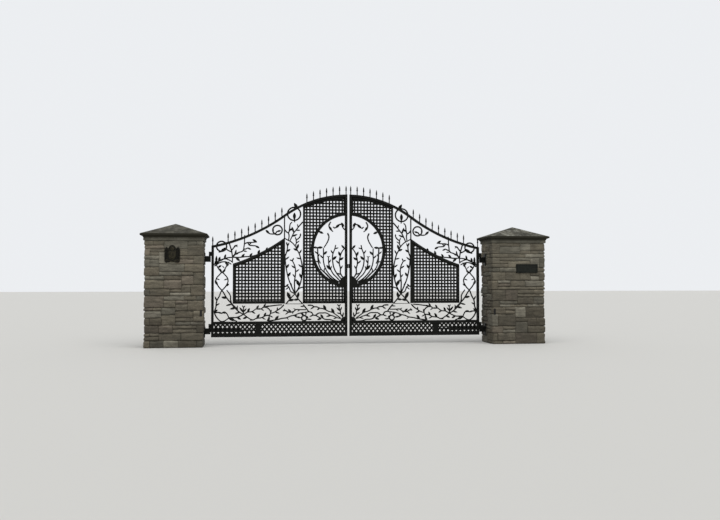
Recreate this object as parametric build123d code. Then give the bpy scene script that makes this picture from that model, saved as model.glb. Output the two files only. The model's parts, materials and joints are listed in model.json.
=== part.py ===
from build123d import *
from math import atan2, cos, degrees, hypot, sin, sqrt
import os

# A pair of ornamental driveway gate leaves between two stone pillars.
# Millimetres. X runs along the gate, +Y into the property, +Z up.
# The origin is the middle of the left pillar's base.

# Pillars
OPENING = 4488.0            # clear width between the pillars
PILLAR_WIDTH = 860.0
PILLAR_DEPTH = 600.0
SHAFT_HEIGHT = 1597.0
CORBEL_HEIGHT = 43.0
CORBEL_OUT = 15.0
EAVE_OUT = 60.0
COVE_HEIGHT = 36.0          # hollow moulding under the eave
COVE_RADIUS = 44.0
FASCIA_HEIGHT = 26.0
CAP_RISE = 168.0
GATE_SETBACK = 100.0        # gate plane behind the middle of the pillars

# Leaf frame
LEAF_GAP = 34.0             # between the two meeting stiles
HINGE_TO_PILLAR = 81.0
HINGE_TO_STILE = 23.0
STILE_WIDTH = 38.0
MEETING_STILE_WIDTH = 40.0
FRAME_DEPTH = 38.0
GROUND_CLEARANCE = 125.0
BOTTOM_RAIL_HEIGHT = 50.0
BAND_HEIGHT = 146.0         # diamond lattice between its two rails
BAND_RAIL_HEIGHT = 44.0
VINE_BAND_HEIGHT = 276.0    # open band of vines above the diamond lattice

# Top rail: an arch over the middle that turns into a hollow curve
CROWN_HEIGHT = 2352.0       # middle line of the rail at the middle of the gate
CROWN_RADIUS = 1709.0
TURN_WIDTH = 1010.0         # from the middle of the gate to where the curve turns
HOLLOW_RADIUS = 2850.0
TOP_RAIL_WIDTH = 38.0

# Square lattice
PITCH = 50.8
INNER_PITCH = 51.4          # upright bars of the inner panel
INNER_FIRST = 41.3          # first of them, from the meeting stile
BAR_WIDTH = 26.0
BAR_THICK = 6.0
ROW_HEIGHT = 699.6          # lowest level bar
OUTER_COLUMNS = 14
OUTER_SIDE = 52.5           # solid side of the outer panel
PANEL_EDGE = 28.0           # flat along the panels' other edges
INNER_BARS = 12
INNER_CLEAR = 635.0
INNER_POST_WIDTH = 31.0
OUTER_TOP_DROP = 345.0      # outer panel's top below the top rail
UPRIGHT_WIDTH = 19.0
VINE_PANEL_WIDTH = 280.0

# Round opening
RING_HEIGHT = 1487.0
RING_RADIUS = 549.0         # inside
RING_WIDTH = 49.0
RING_DEPTH = 20.0
FAN_RADIUS = 150.0
FAN_THICK = 10.0
FAN_SEAT = 1.0              # how far the fan is let into the ring

# Diamond lattice
DIAMOND_WIDTH = 68.0
DIAMOND_HEIGHT = 82.0
DIAMOND_BAR = 28.0
DIAMOND_DROP = 7.0          # of a row of crossings below the middle of the band

# Spears
SPEAR_PITCH = 104.0
SPEAR_HEIGHT = 145.0
SPEAR_SHANK = 68.0
SPEAR_WIDTH = 13.0
SPEAR_BEAD = 21.0
SPEARS_BY_MEETING = 7
SPEARS_BY_HINGE = 9
FIRST_HINGE_SPEAR = 1054.0

# Vines
VINE_WIDTH = 13.0
VINE_THICK = 10.0
VINE_BAR = 10.0             # bar across the foot of the vine panel
LEAF_LENGTH = 66.0
LEAF_WIDTH = 22.0
LEAF_SPREAD = 38.0          # degrees from the stem
CORNER_PLATE = 66.0         # quarter plate that the band's stems fan out from
CIRCLE_SIDES = 12           # of the forged circles
RAIL_CIRCLE = 100.0         # radius of the circle across the rail by the hinge
RAIL_CIRCLE_U = 1977.0
RAIL_CIRCLE_DROP = 18.0     # below the rail
PANEL_CIRCLE = 115.0        # across the rail over the vine panel
PANEL_CIRCLE_DROP = 66.0
FOOT_CIRCLE = 94.0          # in the band by the hinge
FOOT_CIRCLE_U = 1983.0
SMALL_CIRCLE = 54.0         # in the band under the inner panel
SMALL_CIRCLE_U = 697.0
UPRIGHT_CIRCLE = 94.0       # against the upright
UPRIGHT_CIRCLE_DROP = 168.0  # below the rail
CIRCLE_SEAT = 3.0           # how far a circle is dressed into what it rests on
CIRCLE_SINK = 10.0          # of the band's circles into its rail
BARE_POINTS = 4             # a stem with no more points than this has no leaves

# Points of each stem, as shares of the width of its region, from the middle of the gate
# outwards, and of its height. The ring's are shares of its radius from its middle.
PANEL_STEMS = (
    ((0.94, -0.02), (0.45, 0.10), (0.09, 0.24), (0.02, 0.38), (0.36, 0.56), (1.02, 0.69)),
    ((-0.03, -0.02), (0.39, 0.09), (0.79, 0.28), (0.90, 0.39), (1.02, 0.48)),
    ((0.43, 0.09), (0.48, 0.21), (0.41, 0.35), (0.63, 0.46)),
    ((1.02, 0.18), (0.77, 0.14), (0.43, 0.09)),
    ((0.88, -0.02), (0.77, 0.06), (0.86, 0.11)),
    ((0.72, 0.64), (0.82, 0.75), (0.68, 0.83), (0.46, 0.90), (0.52, 0.94), (0.45, 1.02)),
    ((1.02, 0.78), (0.82, 0.75)),
    ((-0.03, 0.88), (0.29, 0.79), (0.59, 0.74)),
    ((0.85, 0.55), (0.84, 0.61), (0.95, 0.68)),
)
RING_STEMS = (
    ((0.22, -0.97), (0.55, -0.79), (0.78, -0.56), (0.89, -0.29), (0.89, 0.06)),
    ((0.22, -0.91), (0.48, -0.75), (0.67, -0.50), (0.72, -0.20), (0.71, 0.06), (0.57, 0.35), (0.50, 0.53),
     (0.57, 0.67), (0.52, 0.90)),
    ((0.20, -0.90), (0.42, -0.74), (0.54, -0.50), (0.58, -0.20)),
    ((0.17, -0.86), (0.33, -0.67), (0.45, -0.34), (0.46, -0.13), (0.38, 0.06), (0.36, 0.29)),
    ((0.14, -0.83), (0.23, -0.63), (0.26, -0.38), (0.23, -0.17), (0.07, 0.08)),
    ((0.05, 0.02), (0.21, 0.16), (0.21, 0.24)),
    ((0.08, 0.86), (0.18, 0.80), (0.27, 0.71), (0.35, 0.65), (0.45, 0.63)),
    ((0.05, 0.66), (0.15, 0.69), (0.18, 0.80)),
)
BAND_STEMS = (
    ((0.86, 1.02), (0.78, 0.46), (0.70, 0.10), (0.68, -0.02)),
    ((0.90, 0.24), (0.82, 0.27), (0.75, 0.54), (0.68, 0.71), (0.64, 0.78), (0.61, 1.02)),
    ((0.90, 0.24), (0.87, 0.11), (0.81, -0.02)),
    ((0.77, 0.44), (0.78, 0.66), (0.78, 0.86)),
    ((0.71, 0.10), (0.68, 0.20), (0.63, 0.25), (0.58, 0.36)),
    ((0.65, 0.76), (0.60, 0.75), (0.57, 0.55), (0.60, -0.02)),
    ((0.65, 0.76), (0.56, 0.87), (0.46, 1.02)),
    ((0.57, 0.46), (0.54, 0.54), (0.51, 0.69), (0.46, 1.02)),
    ((0.32, 1.02), (0.29, 0.69), (0.24, 0.35), (0.22, 0.38), (0.20, 0.50)),
    ((0.24, 0.35), (0.20, 0.24), (0.16, 0.16), (0.11, 0.08), (0.01, 0.04)),
    ((0.01, 0.18), (0.07, 0.24), (0.13, 0.37), (0.17, 0.48), (0.27, 0.51), (0.36, 0.44), (0.45, 0.19),
     (0.52, 0.15), (0.59, 0.09)),
    ((0.01, 0.20), (0.07, 0.42), (0.14, 0.65), (0.20, 0.76), (0.25, 0.87), (0.32, 0.91)),
    ((0.29, 0.67), (0.35, 0.70), (0.38, 0.66), (0.43, 0.55), (0.48, 0.63)),
    ((0.01, 0.20), (0.03, 0.52), (0.04, 0.91)),
)
SIDE_STEMS = (
    ((1.02, -0.14), (0.86, 0.00), (0.66, 0.20), (0.90, 0.41), (0.60, 0.60), (0.86, 0.75)),
    ((-0.02, -0.03), (0.29, 0.10), (0.49, 0.22), (0.27, 0.41), (0.60, 0.60), (0.30, 0.77)),
    ((-0.02, -0.02), (0.18, 0.15), (0.27, 0.29), (-0.02, 0.45)),
    ((1.02, 0.48), (0.87, 0.31), (0.66, 0.20)),
    ((1.02, 0.74), (0.49, 0.84), (-0.02, 0.72)),
    ((0.98, 0.64), (0.49, 0.80), (0.10, 0.64)),
    ((0.90, 0.75), (0.90, 0.87), (0.88, 0.95)),
)
TOP_STEMS = (
    ((1.02, -0.04), (0.92, 0.06), (0.84, 0.12), (0.64, 0.13), (0.44, 0.18)),
    ((0.81, 0.43), (0.76, 0.33), (0.74, 0.23), (0.73, 0.12)),
    ((0.73, 0.13), (0.67, 0.22), (0.59, 0.28), (0.48, 0.32)),
    ((0.74, 0.19), (0.73, 0.30), (0.67, 0.37)),
    ((0.60, 0.54), (0.58, 0.47), (0.47, 0.45), (0.39, 0.44), (0.45, 0.51)),
    ((0.59, 0.28), (0.57, 0.34), (0.48, 0.38), (0.39, 0.36)),
    ((0.40, 0.13), (0.38, 0.22), (0.36, 0.31)),
    ((0.29, 0.18), (0.25, 0.32), (0.23, 0.36)),
)

# Hinges
KNUCKLE_RADIUS = 17.5
PIN_RADIUS = 8.0
PIN_FIT = 0.05
KNUCKLE_SEAT = 0.3
ARM_THICK = 20.0
ARM_HEIGHT = 92.0
ARM_END = 13.0              # past the pin
HINGE_PLATE = 12.0
HINGE_PLATE_WIDTH = 90.0
HINGE_PLATE_HEIGHT = 184.0
LOWER_HINGE_HEIGHT = 264.0  # seat between the two knuckles
UPPER_HINGE_HEIGHT = 1383.0
MOVING_KNUCKLE = 66.0

# Latch
LATCH_HEIGHT = 1233.0
LATCH_TALL = 64.0
LATCH_DEEP = 30.0
LATCH_GAP = 6.0

# Ram operators
RAM_PIVOT_IN = 50.0         # from the hinge line towards the pillar
RAM_PIVOT_BACK = 150.0      # behind the gate plane
RAM_REACH = 745.0           # hinge line to the ram's fixing on the leaf
RAM_OFFSET = 70.0           # fixing behind the gate plane
RAM_HEIGHT = 225.0
RAM_BODY_LENGTH = 540.0
RAM_BODY_WIDTH = 46.0
RAM_BODY_HEIGHT = 60.0
RAM_NECK = 30.0             # from the rear pivot to the housing
ROD_RADIUS = 14.0
ROD_END = 30.0              # of the round rod, short of its eye's middle
ROD_WELL = 280.0
ROD_INSIDE = 40.0           # of the rod, with the leaf closed
RAM_PLATE_WIDTH = 87.0
EYE_RADIUS = 16.0
EYE_THICK = 14.0
RAM_GAP = 5.0
RAM_PIN_RADIUS = 6.0
LUG_THICK = 8.0
LUG_GAP = 1.0
LUG_WIDTH = 26.0
LUG_END = 11.0              # past the pin
RAM_BRACKET_WIDTH = 44.0
RAM_BRACKET_HEIGHT = 100.0
BOLT_HEAD = 8.0
BOLT_HEAD_RADIUS = 9.0

# Plates on the pillars
CREST_WIDTH = 224.0
CREST_HEIGHT = 266.0
NUMBER_WIDTH = 352.0
NUMBER_HEIGHT = 137.0
PLATE_THICK = 18.0
EYE_WIDTH = 31.0
EYE_HEIGHT = 90.0
EYE_DEPTH = 12.0
CREST_DROP = 198.0          # of its middle below the shaft's top
CREST_ASIDE = -23.0         # from the middle of the pillar
CREST_HEAD = 47.0           # radius of the round head
CREST_NECK = 70.0           # below the head's top
CREST_PEAK_OUT = 85.0       # peak of each shoulder, from the middle
CREST_PEAK_DROP = 26.0
CREST_SHOULDER_DROP = 66.0
CREST_CORNER = 24.0         # cut off at the foot's corners
CREST_HOLLOW = 20.0         # of the foot
NUMBER_DROP = 403.0
NUMBER_ASIDE = 131.0
PHOTO_EYE_CENTRE = 515.0
PHOTO_EYE_INSET = 30.0

# Places worked out from the sizes above
MIDDLE = PILLAR_WIDTH / 2 + OPENING / 2
HALF = OPENING / 2
HINGE_U = HALF - HINGE_TO_PILLAR
STILE_OUT = HINGE_U - HINGE_TO_STILE
STILE_IN = STILE_OUT - STILE_WIDTH
MEET_OUT = LEAF_GAP / 2
MEET_IN = MEET_OUT + MEETING_STILE_WIDTH
Z_BOTTOM = GROUND_CLEARANCE
Z_BAND = Z_BOTTOM + BOTTOM_RAIL_HEIGHT
Z_BAND_RAIL = Z_BAND + BAND_HEIGHT
Z_VINES = Z_BAND_RAIL + BAND_RAIL_HEIGHT
Z_PANELS = Z_VINES + VINE_BAND_HEIGHT
POST_IN = MEET_IN + INNER_CLEAR
POST_OUT = POST_IN + INNER_POST_WIDTH
UPRIGHT_IN = POST_OUT + VINE_PANEL_WIDTH
UPRIGHT_OUT = UPRIGHT_IN + UPRIGHT_WIDTH
OUTER_CLEAR = OUTER_COLUMNS * PITCH - BAR_WIDTH
OUTER_FAR = UPRIGHT_OUT + OUTER_CLEAR + 2 * OUTER_SIDE
HALF_RAIL = TOP_RAIL_WIDTH / 2
HALF_DEPTH = FRAME_DEPTH / 2
TURN_ANGLE = atan2(TURN_WIDTH, sqrt(CROWN_RADIUS**2 - TURN_WIDTH**2))
CROWN_CENTRE = CROWN_HEIGHT - CROWN_RADIUS
HOLLOW_U = (CROWN_RADIUS + HOLLOW_RADIUS) * sin(TURN_ANGLE)
HOLLOW_Z = CROWN_CENTRE + (CROWN_RADIUS + HOLLOW_RADIUS) * cos(TURN_ANGLE)


def slab(outline, front, back):
    """Stands a flat outline up in the gate and gives it a thickness."""
    wall = Plane(origin=(0, back, 0), x_dir=(1, 0, 0), z_dir=(0, -1, 0))
    return extrude(wall * outline, back - front)


def rect(u0, u1, z0, z1):
    """A rectangle between two distances from the gate's middle and two heights."""
    return Pos(-(u0 + u1) / 2, (z0 + z1) / 2) * Rectangle(u1 - u0, z1 - z0)


def rail_z(u, out=0.0):
    """Height of the top rail's middle line, moved outwards along its normal."""
    if u < TURN_WIDTH + out * sin(TURN_ANGLE):
        return CROWN_CENTRE + sqrt((CROWN_RADIUS + out) ** 2 - u**2)
    return HOLLOW_Z - sqrt((HOLLOW_RADIUS - out) ** 2 - (u - HOLLOW_U) ** 2)


def rail_edges(u0, u1, out, drop=0.0):
    """The same line as arcs, between two distances from the gate's middle."""
    turn = TURN_WIDTH + out * sin(TURN_ANGLE)
    stops = [u0, turn, u1] if u0 < turn < u1 else [u0, u1]
    edges = []
    for a, b in zip(stops, stops[1:]):
        mid = (a + b) / 2
        ends = [(-u, rail_z(u, out) - drop) for u in (a, mid, b)]
        edges.append(ThreePointArc(*ends).edge())
    return edges


def under_rail(u0, u1, z0, out=-HALF_RAIL, drop=0.0):
    """The area between a level line and the top rail."""
    top = rail_edges(u0, u1, out, drop)
    left, right = top[-1] @ 1, top[0] @ 0
    sides = [Line(right, (-u0, z0)), Line((-u0, z0), (-u1, z0)), Line((-u1, z0), left)]
    return make_face([*top, *[side.edge() for side in sides]])


def rail_band(u0, u1, out_low, out_high):
    """A strip along the top rail's line."""
    low, high = rail_edges(u0, u1, out_low), rail_edges(u0, u1, out_high)
    ends = [Line(low[0] @ 0, high[0] @ 0).edge(), Line(low[-1] @ 1, high[-1] @ 1).edge()]
    return make_face([*low, *high, *ends])


def half_disc(radius):
    disc = Pos(0, RING_HEIGHT) * Circle(radius)
    return disc & rect(0, HALF, 0, 2 * CROWN_HEIGHT)


def lattice(clear, uprights, levels, edge):
    """Upright bars in front, level bars behind, and a flat edge, all welded."""
    front = slab(Sketch() + [bar & clear for bar in uprights], -BAR_THICK, 0)
    back = slab(Sketch() + [bar & clear for bar in levels], 0, BAR_THICK)
    return edge + front + back


def square_levels(u0, u1, top):
    rows = range(int((top - ROW_HEIGHT) / PITCH) + 1)
    heights = [ROW_HEIGHT + row * PITCH for row in rows]
    return [rect(u0, u1, z - BAR_WIDTH / 2, z + BAR_WIDTH / 2) for z in heights]


def outer_panel():
    full = under_rail(UPRIGHT_OUT, OUTER_FAR, Z_PANELS, 0, OUTER_TOP_DROP)
    inside = under_rail(UPRIGHT_OUT + OUTER_SIDE, OUTER_FAR - OUTER_SIDE,
                        Z_PANELS + PANEL_EDGE, -PANEL_EDGE, OUTER_TOP_DROP)
    edge = slab(full - inside, -BAR_THICK, BAR_THICK)
    first = UPRIGHT_OUT + OUTER_SIDE + PITCH - BAR_WIDTH / 2
    middles = [first + k * PITCH for k in range(OUTER_COLUMNS - 1)]
    top = rail_z(UPRIGHT_OUT) - OUTER_TOP_DROP
    uprights = [rect(u - BAR_WIDTH / 2, u + BAR_WIDTH / 2, 0, top) for u in middles]
    levels = square_levels(UPRIGHT_OUT + 1, OUTER_FAR - 1, top - PANEL_EDGE)
    return lattice(inside, uprights, levels, edge)


def inner_panel():
    """Square lattice whose bars run to the stile, the post and the ring, under a flat along the rail."""
    ring_out = half_disc(RING_RADIUS + RING_WIDTH + KNUCKLE_SEAT)
    full = under_rail(MEET_IN, POST_OUT, Z_PANELS) - ring_out
    inside = under_rail(MEET_IN, POST_IN, Z_PANELS + PANEL_EDGE, -HALF_RAIL - PANEL_EDGE) - ring_out
    edge = slab(full - inside, -BAR_THICK, BAR_THICK)
    middles = [MEET_IN + INNER_FIRST + k * INNER_PITCH for k in range(INNER_BARS)]
    uprights = [rect(u - BAR_WIDTH / 2, u + BAR_WIDTH / 2, 0, CROWN_HEIGHT) for u in middles]
    levels = square_levels(MEET_IN, POST_OUT, CROWN_HEIGHT)
    return lattice(inside, uprights, levels, edge)


def half_ring():
    """Half of the round frame, with the solid quarter fan at its foot."""
    ring = half_disc(RING_RADIUS + RING_WIDTH) - half_disc(RING_RADIUS)
    fan = Pos(0, RING_HEIGHT - RING_RADIUS) * Circle(FAN_RADIUS) & half_disc(RING_RADIUS + FAN_SEAT)
    clear = rect(MEET_IN, HALF, 0, CROWN_HEIGHT)
    return (slab(ring & clear, -RING_DEPTH / 2, RING_DEPTH / 2)
            + slab(fan & clear, -FAN_THICK / 2, FAN_THICK / 2))


def diamond_bars(lean):
    """Flat bars that lean one way across the band."""
    angle = degrees(atan2(DIAMOND_HEIGHT, DIAMOND_WIDTH))
    count = int((STILE_IN - MEET_IN) / DIAMOND_WIDTH) + 4
    middle = (STILE_IN + MEET_IN) / 2
    bars = []
    for k in range(-count // 2, count // 2 + 1):
        place = Pos(-middle + k * DIAMOND_WIDTH, Z_BAND + BAND_HEIGHT / 2 - DIAMOND_DROP)
        bars.append(place * Rot(0, 0, lean * angle) * Rectangle(3 * BAND_HEIGHT, DIAMOND_BAR))
    return bars


def plate_edges():
    plate = HINGE_U - RAM_REACH
    return plate - RAM_PLATE_WIDTH / 2, plate + RAM_PLATE_WIDTH / 2


def band_lattice():
    near, far = plate_edges()
    clear = [rect(MEET_IN, near, Z_BAND, Z_BAND_RAIL), rect(far, STILE_IN, Z_BAND, Z_BAND_RAIL)]
    pieces = []
    for window in clear:
        front = [bar & window for bar in diamond_bars(1)]
        back = [bar & window for bar in diamond_bars(-1)]
        pieces.append(slab(Sketch() + front, -BAR_THICK, 0) + slab(Sketch() + back, 0, BAR_THICK))
    return Compound(children=[solid for piece in pieces for solid in piece.solids()])


def ram_plate():
    """Solid plate in the band, with the lug that the ram is fixed to."""
    near, far = plate_edges()
    plate = slab(rect(near, far, Z_BAND, Z_BAND_RAIL), -BAR_THICK, BAR_THICK)
    top = RAM_HEIGHT - EYE_THICK / 2 - RAM_GAP
    lug = Pos(-(HINGE_U - RAM_REACH), (BAR_THICK + RAM_OFFSET) / 2, top - LUG_THICK / 2)
    lug = lug * Box(2 * EYE_RADIUS, RAM_OFFSET - BAR_THICK, LUG_THICK)
    end = Pos(-(HINGE_U - RAM_REACH), RAM_OFFSET, top - LUG_THICK / 2)
    return plate + lug + end * Cylinder(EYE_RADIUS, LUG_THICK)


def spears():
    """Forged spears that stand on the top rail: a shank, a swelling and a long point."""
    places = [MEET_OUT + MEETING_STILE_WIDTH / 2 + k * SPEAR_PITCH for k in range(SPEARS_BY_MEETING)]
    places += [FIRST_HINGE_SPEAR + k * SPEAR_PITCH for k in range(SPEARS_BY_HINGE)]
    places += [(STILE_IN + STILE_OUT) / 2]
    rail = rail_band(MEET_OUT, STILE_OUT, -HALF_RAIL, HALF_RAIL)
    solids = []
    for u in places:
        top = rail_z(u, HALF_RAIL)
        swelling = top + SPEAR_SHANK
        profile = Polyline((0, rail_z(u)), (SPEAR_WIDTH / 2, rail_z(u)), (SPEAR_WIDTH / 2, swelling),
                           (SPEAR_BEAD / 2, swelling + SPEAR_BEAD / 2), (0, top + SPEAR_HEIGHT), close=True)
        half = make_face(profile)
        spear = Pos(-u, 0) * (half + mirror(half, Plane.YZ)) - rail
        solids += slab(spear, -SPEAR_WIDTH / 2, SPEAR_WIDTH / 2).solids()
    return Compound(children=solids)


def spots(stem, u0, u1, z0, z1):
    """A stem's points, from shares of its region to places on the leaf."""
    return [Vector(-(u0 + (u1 - u0) * across), z0 + (z1 - z0) * up) for across, up in stem]


def ribbon(points):
    """A strip of even width along a few points."""
    edges = [], []
    for before, point, after in zip(points[:1] + points, points, points[1:] + points[-1:]):
        out = (after - before).normalized().rotate(Axis.Z, 90) * VINE_WIDTH / 2
        edges[0].append(point + out)
        edges[1].append(point - out)
    return make_face(Polyline(*edges[0], *edges[1][::-1], close=True))


def leaf_pair(point, ahead):
    """Two pointed leaves that grow forward on either side of a stem."""
    way = ahead - point
    half = LEAF_LENGTH / 2
    lozenge = Polyline((0, 0), (half, -LEAF_WIDTH / 2), (LEAF_LENGTH, 0), (half, LEAF_WIDTH / 2), close=True)
    turns = [degrees(atan2(way.Y, way.X)) + side * LEAF_SPREAD for side in (1, -1)]
    return [Pos(point.X, point.Y) * Rot(0, 0, turn) * make_face(lozenge) for turn in turns]


def stem_shapes(stems, *region):
    """The stems of one region, with leaves in the middle of the longer ones."""
    shapes = Sketch()
    for stem in stems:
        points = spots(stem, *region)
        middle = len(points) // 2
        shapes += ribbon(points)
        if len(points) > BARE_POINTS:
            shapes += leaf_pair(points[middle], points[middle + 1])
    return shapes


def circle_band(u, z, radius):
    """A forged circle, as a band with few sides."""
    outside, inside = [RegularPolygon(r, CIRCLE_SIDES) for r in (radius, radius - VINE_WIDTH)]
    return Pos(-u, z) * (outside - inside)


def vines(shapes, clear):
    return slab(shapes & clear, -VINE_THICK / 2, VINE_THICK / 2)


def ring_vines():
    clear = half_disc(RING_RADIUS) & rect(MEET_IN, HALF, 0, CROWN_HEIGHT)
    clear -= Pos(0, RING_HEIGHT - RING_RADIUS) * Circle(FAN_RADIUS)
    return vines(stem_shapes(RING_STEMS, 0, RING_RADIUS, RING_HEIGHT, RING_HEIGHT + RING_RADIUS), clear)


def beside_rail(u0, u1, z0):
    """The area above a level line, on both sides of the top rail."""
    return rect(u0, u1, z0, 2 * CROWN_HEIGHT) - rail_band(MEET_OUT, STILE_OUT, -HALF_RAIL, HALF_RAIL)


def vine_panel():
    middle = (POST_OUT + UPRIGHT_IN) / 2
    top = rail_z(middle)
    shapes = stem_shapes(PANEL_STEMS, POST_OUT, UPRIGHT_IN, Z_PANELS, top)
    shapes &= under_rail(POST_OUT, UPRIGHT_IN, Z_PANELS)
    circle = circle_band(middle, top - PANEL_CIRCLE_DROP, PANEL_CIRCLE)
    circle &= beside_rail(POST_OUT, UPRIGHT_IN, Z_PANELS)
    bar = rect(POST_OUT, UPRIGHT_IN, Z_PANELS - VINE_BAR, Z_PANELS)
    return slab(shapes + circle + bar, -VINE_THICK / 2, VINE_THICK / 2)


def corner_vines():
    """Vines over the outer panel and beside the hinge stile."""
    side_top = rail_z(OUTER_FAR) - OUTER_TOP_DROP
    clear = beside_rail(UPRIGHT_OUT, STILE_IN, Z_PANELS)
    clear -= under_rail(UPRIGHT_OUT, OUTER_FAR, 0, 0, OUTER_TOP_DROP)
    shapes = stem_shapes(TOP_STEMS, UPRIGHT_OUT, STILE_IN, side_top, rail_z(UPRIGHT_OUT))
    shapes += stem_shapes(SIDE_STEMS, OUTER_FAR, STILE_IN, Z_PANELS, rail_z(STILE_IN) - RAIL_CIRCLE)
    shapes &= under_rail(UPRIGHT_OUT, STILE_IN, Z_PANELS)
    upright_circle = UPRIGHT_OUT + UPRIGHT_CIRCLE
    shapes += circle_band(RAIL_CIRCLE_U, rail_z(RAIL_CIRCLE_U) - RAIL_CIRCLE_DROP, RAIL_CIRCLE)
    height = rail_z(upright_circle) - UPRIGHT_CIRCLE_DROP
    shapes += circle_band(upright_circle, height, UPRIGHT_CIRCLE + CIRCLE_SEAT)
    return vines(shapes, clear) - spears()


def band_vines():
    clear = rect(MEET_IN, STILE_IN, Z_VINES, Z_PANELS)
    clear -= rect(POST_OUT, UPRIGHT_IN, Z_PANELS - VINE_BAR, Z_PANELS)
    shapes = stem_shapes(BAND_STEMS, MEET_IN, STILE_IN, Z_VINES, Z_PANELS)
    shapes += circle_band(FOOT_CIRCLE_U, Z_VINES + FOOT_CIRCLE - CIRCLE_SINK, FOOT_CIRCLE)
    shapes += circle_band(SMALL_CIRCLE_U, Z_VINES + SMALL_CIRCLE - CIRCLE_SINK, SMALL_CIRCLE)
    shapes += Pos(-MEET_IN, Z_VINES) * Circle(CORNER_PLATE)
    return vines(shapes, clear)


def knuckle_stack(seat):
    """Moving half of one hinge: a bored barrel and the tab welded to the stile."""
    height = MOVING_KNUCKLE
    low = seat + KNUCKLE_SEAT
    barrel = Pos(-HINGE_U, 0, low + height / 2) * Cylinder(KNUCKLE_RADIUS, height)
    tab = Pos(-(HINGE_U + STILE_OUT) / 2, 0, low + height / 2)
    tab = tab * Box(HINGE_TO_STILE, ARM_THICK, height)
    bore = Pos(-HINGE_U, 0, low + height / 2) * Cylinder(PIN_RADIUS + PIN_FIT, height)
    return barrel + tab - bore


def hinge_bracket(seat):
    """Fixed half: plate on the pillar, square arm and the pin standing in it."""
    plate = Pos(-HALF + HINGE_PLATE / 2, 0, seat - ARM_HEIGHT / 2)
    plate = plate * Box(HINGE_PLATE, HINGE_PLATE_WIDTH, HINGE_PLATE_HEIGHT)
    length = HINGE_TO_PILLAR + ARM_END
    arm = Pos(-HALF + length / 2, 0, seat - ARM_HEIGHT / 2) * Box(length, ARM_THICK, ARM_HEIGHT)
    pin = Pos(-HINGE_U, 0, seat + MOVING_KNUCKLE / 2) * Cylinder(PIN_RADIUS, MOVING_KNUCKLE)
    return plate + arm + pin


def hinge_brackets():
    pair = [hinge_bracket(seat) for seat in (LOWER_HINGE_HEIGHT, UPPER_HINGE_HEIGHT)]
    return Compound(children=[piece.solid() for piece in pair])


def knuckles():
    pair = [knuckle_stack(seat) for seat in (LOWER_HINGE_HEIGHT, UPPER_HINGE_HEIGHT)]
    return Compound(children=[piece.solid() for piece in pair])


def latch():
    reach = MEET_OUT - LATCH_GAP / 2
    place = Pos(-(MEET_OUT - reach / 2), 0, LATCH_HEIGHT)
    return place * Box(reach, LATCH_DEEP, LATCH_TALL)


def ram_line():
    """Pivot on the pillar, and length and angle of the ram with the leaf closed."""
    pivot = (-(HINGE_U + RAM_PIVOT_IN), RAM_PIVOT_BACK)
    fixing = (-(HINGE_U - RAM_REACH), RAM_OFFSET)
    dx, dy = fixing[0] - pivot[0], fixing[1] - pivot[1]
    return pivot, hypot(dx, dy), degrees(atan2(dy, dx))


def on_ram(shape):
    """Places a shape drawn along +X from the pivot onto the ram's line."""
    pivot, _, angle = ram_line()
    return Pos(pivot[0], pivot[1], RAM_HEIGHT) * Rot(0, 0, angle) * shape


def ram_body():
    case = Pos((RAM_NECK + RAM_BODY_LENGTH) / 2, 0, 0)
    case = case * Box(RAM_BODY_LENGTH - RAM_NECK, RAM_BODY_WIDTH, RAM_BODY_HEIGHT)
    neck = Pos(RAM_NECK / 2, 0, 0) * Box(RAM_NECK, EYE_RADIUS, EYE_THICK)
    eye = Cylinder(EYE_RADIUS, EYE_THICK)
    bore = Cylinder(RAM_PIN_RADIUS + PIN_FIT, EYE_THICK)
    well = Pos(RAM_BODY_LENGTH - ROD_WELL / 2, 0, 0) * Rot(0, 90, 0)
    well = well * Cylinder(ROD_RADIUS + PIN_FIT, ROD_WELL)
    return on_ram(case + neck + eye - bore - well)


def ram_rod():
    """Round rod with a flat tang, the front eye and its bolt head."""
    _, length, _ = ram_line()
    start, end = RAM_BODY_LENGTH - ROD_INSIDE, length - ROD_END
    rod = Pos((start + end) / 2, 0, 0) * Rot(0, 90, 0) * Cylinder(ROD_RADIUS, end - start)
    tang = Pos((end + length) / 2, 0, 0) * Box(ROD_END, 2 * ROD_RADIUS, EYE_THICK)
    eye = Pos(length, 0, 0) * Cylinder(EYE_RADIUS, EYE_THICK)
    head = Pos(length, 0, (EYE_THICK + BOLT_HEAD) / 2) * Cylinder(BOLT_HEAD_RADIUS, BOLT_HEAD)
    return on_ram(rod + tang + eye + head)


def ram_bracket():
    """Plate on the pillar with two lugs and the pin of the ram's rear eye."""
    pivot, _, _ = ram_line()
    piece = Pos(-HALF + HINGE_PLATE / 2, pivot[1], RAM_HEIGHT)
    piece = piece * Box(HINGE_PLATE, RAM_BRACKET_WIDTH, RAM_BRACKET_HEIGHT)
    length = HALF + pivot[0] + LUG_END
    for side in (1, -1):
        z = RAM_HEIGHT + side * (EYE_THICK / 2 + LUG_GAP + LUG_THICK / 2)
        piece += Pos(-HALF + length / 2, pivot[1], z) * Box(length, LUG_WIDTH, LUG_THICK)
    return piece + Pos(pivot[0], pivot[1], RAM_HEIGHT) * Cylinder(RAM_PIN_RADIUS, EYE_THICK + 2 * LUG_GAP)


def pillar():
    shaft = Pos(0, 0, SHAFT_HEIGHT / 2) * Box(PILLAR_WIDTH, PILLAR_DEPTH, SHAFT_HEIGHT)
    corbel = Pos(0, 0, SHAFT_HEIGHT + CORBEL_HEIGHT / 2)
    grow = 2 * CORBEL_OUT
    return shaft + corbel * Box(PILLAR_WIDTH + grow, PILLAR_DEPTH + grow, CORBEL_HEIGHT)


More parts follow.
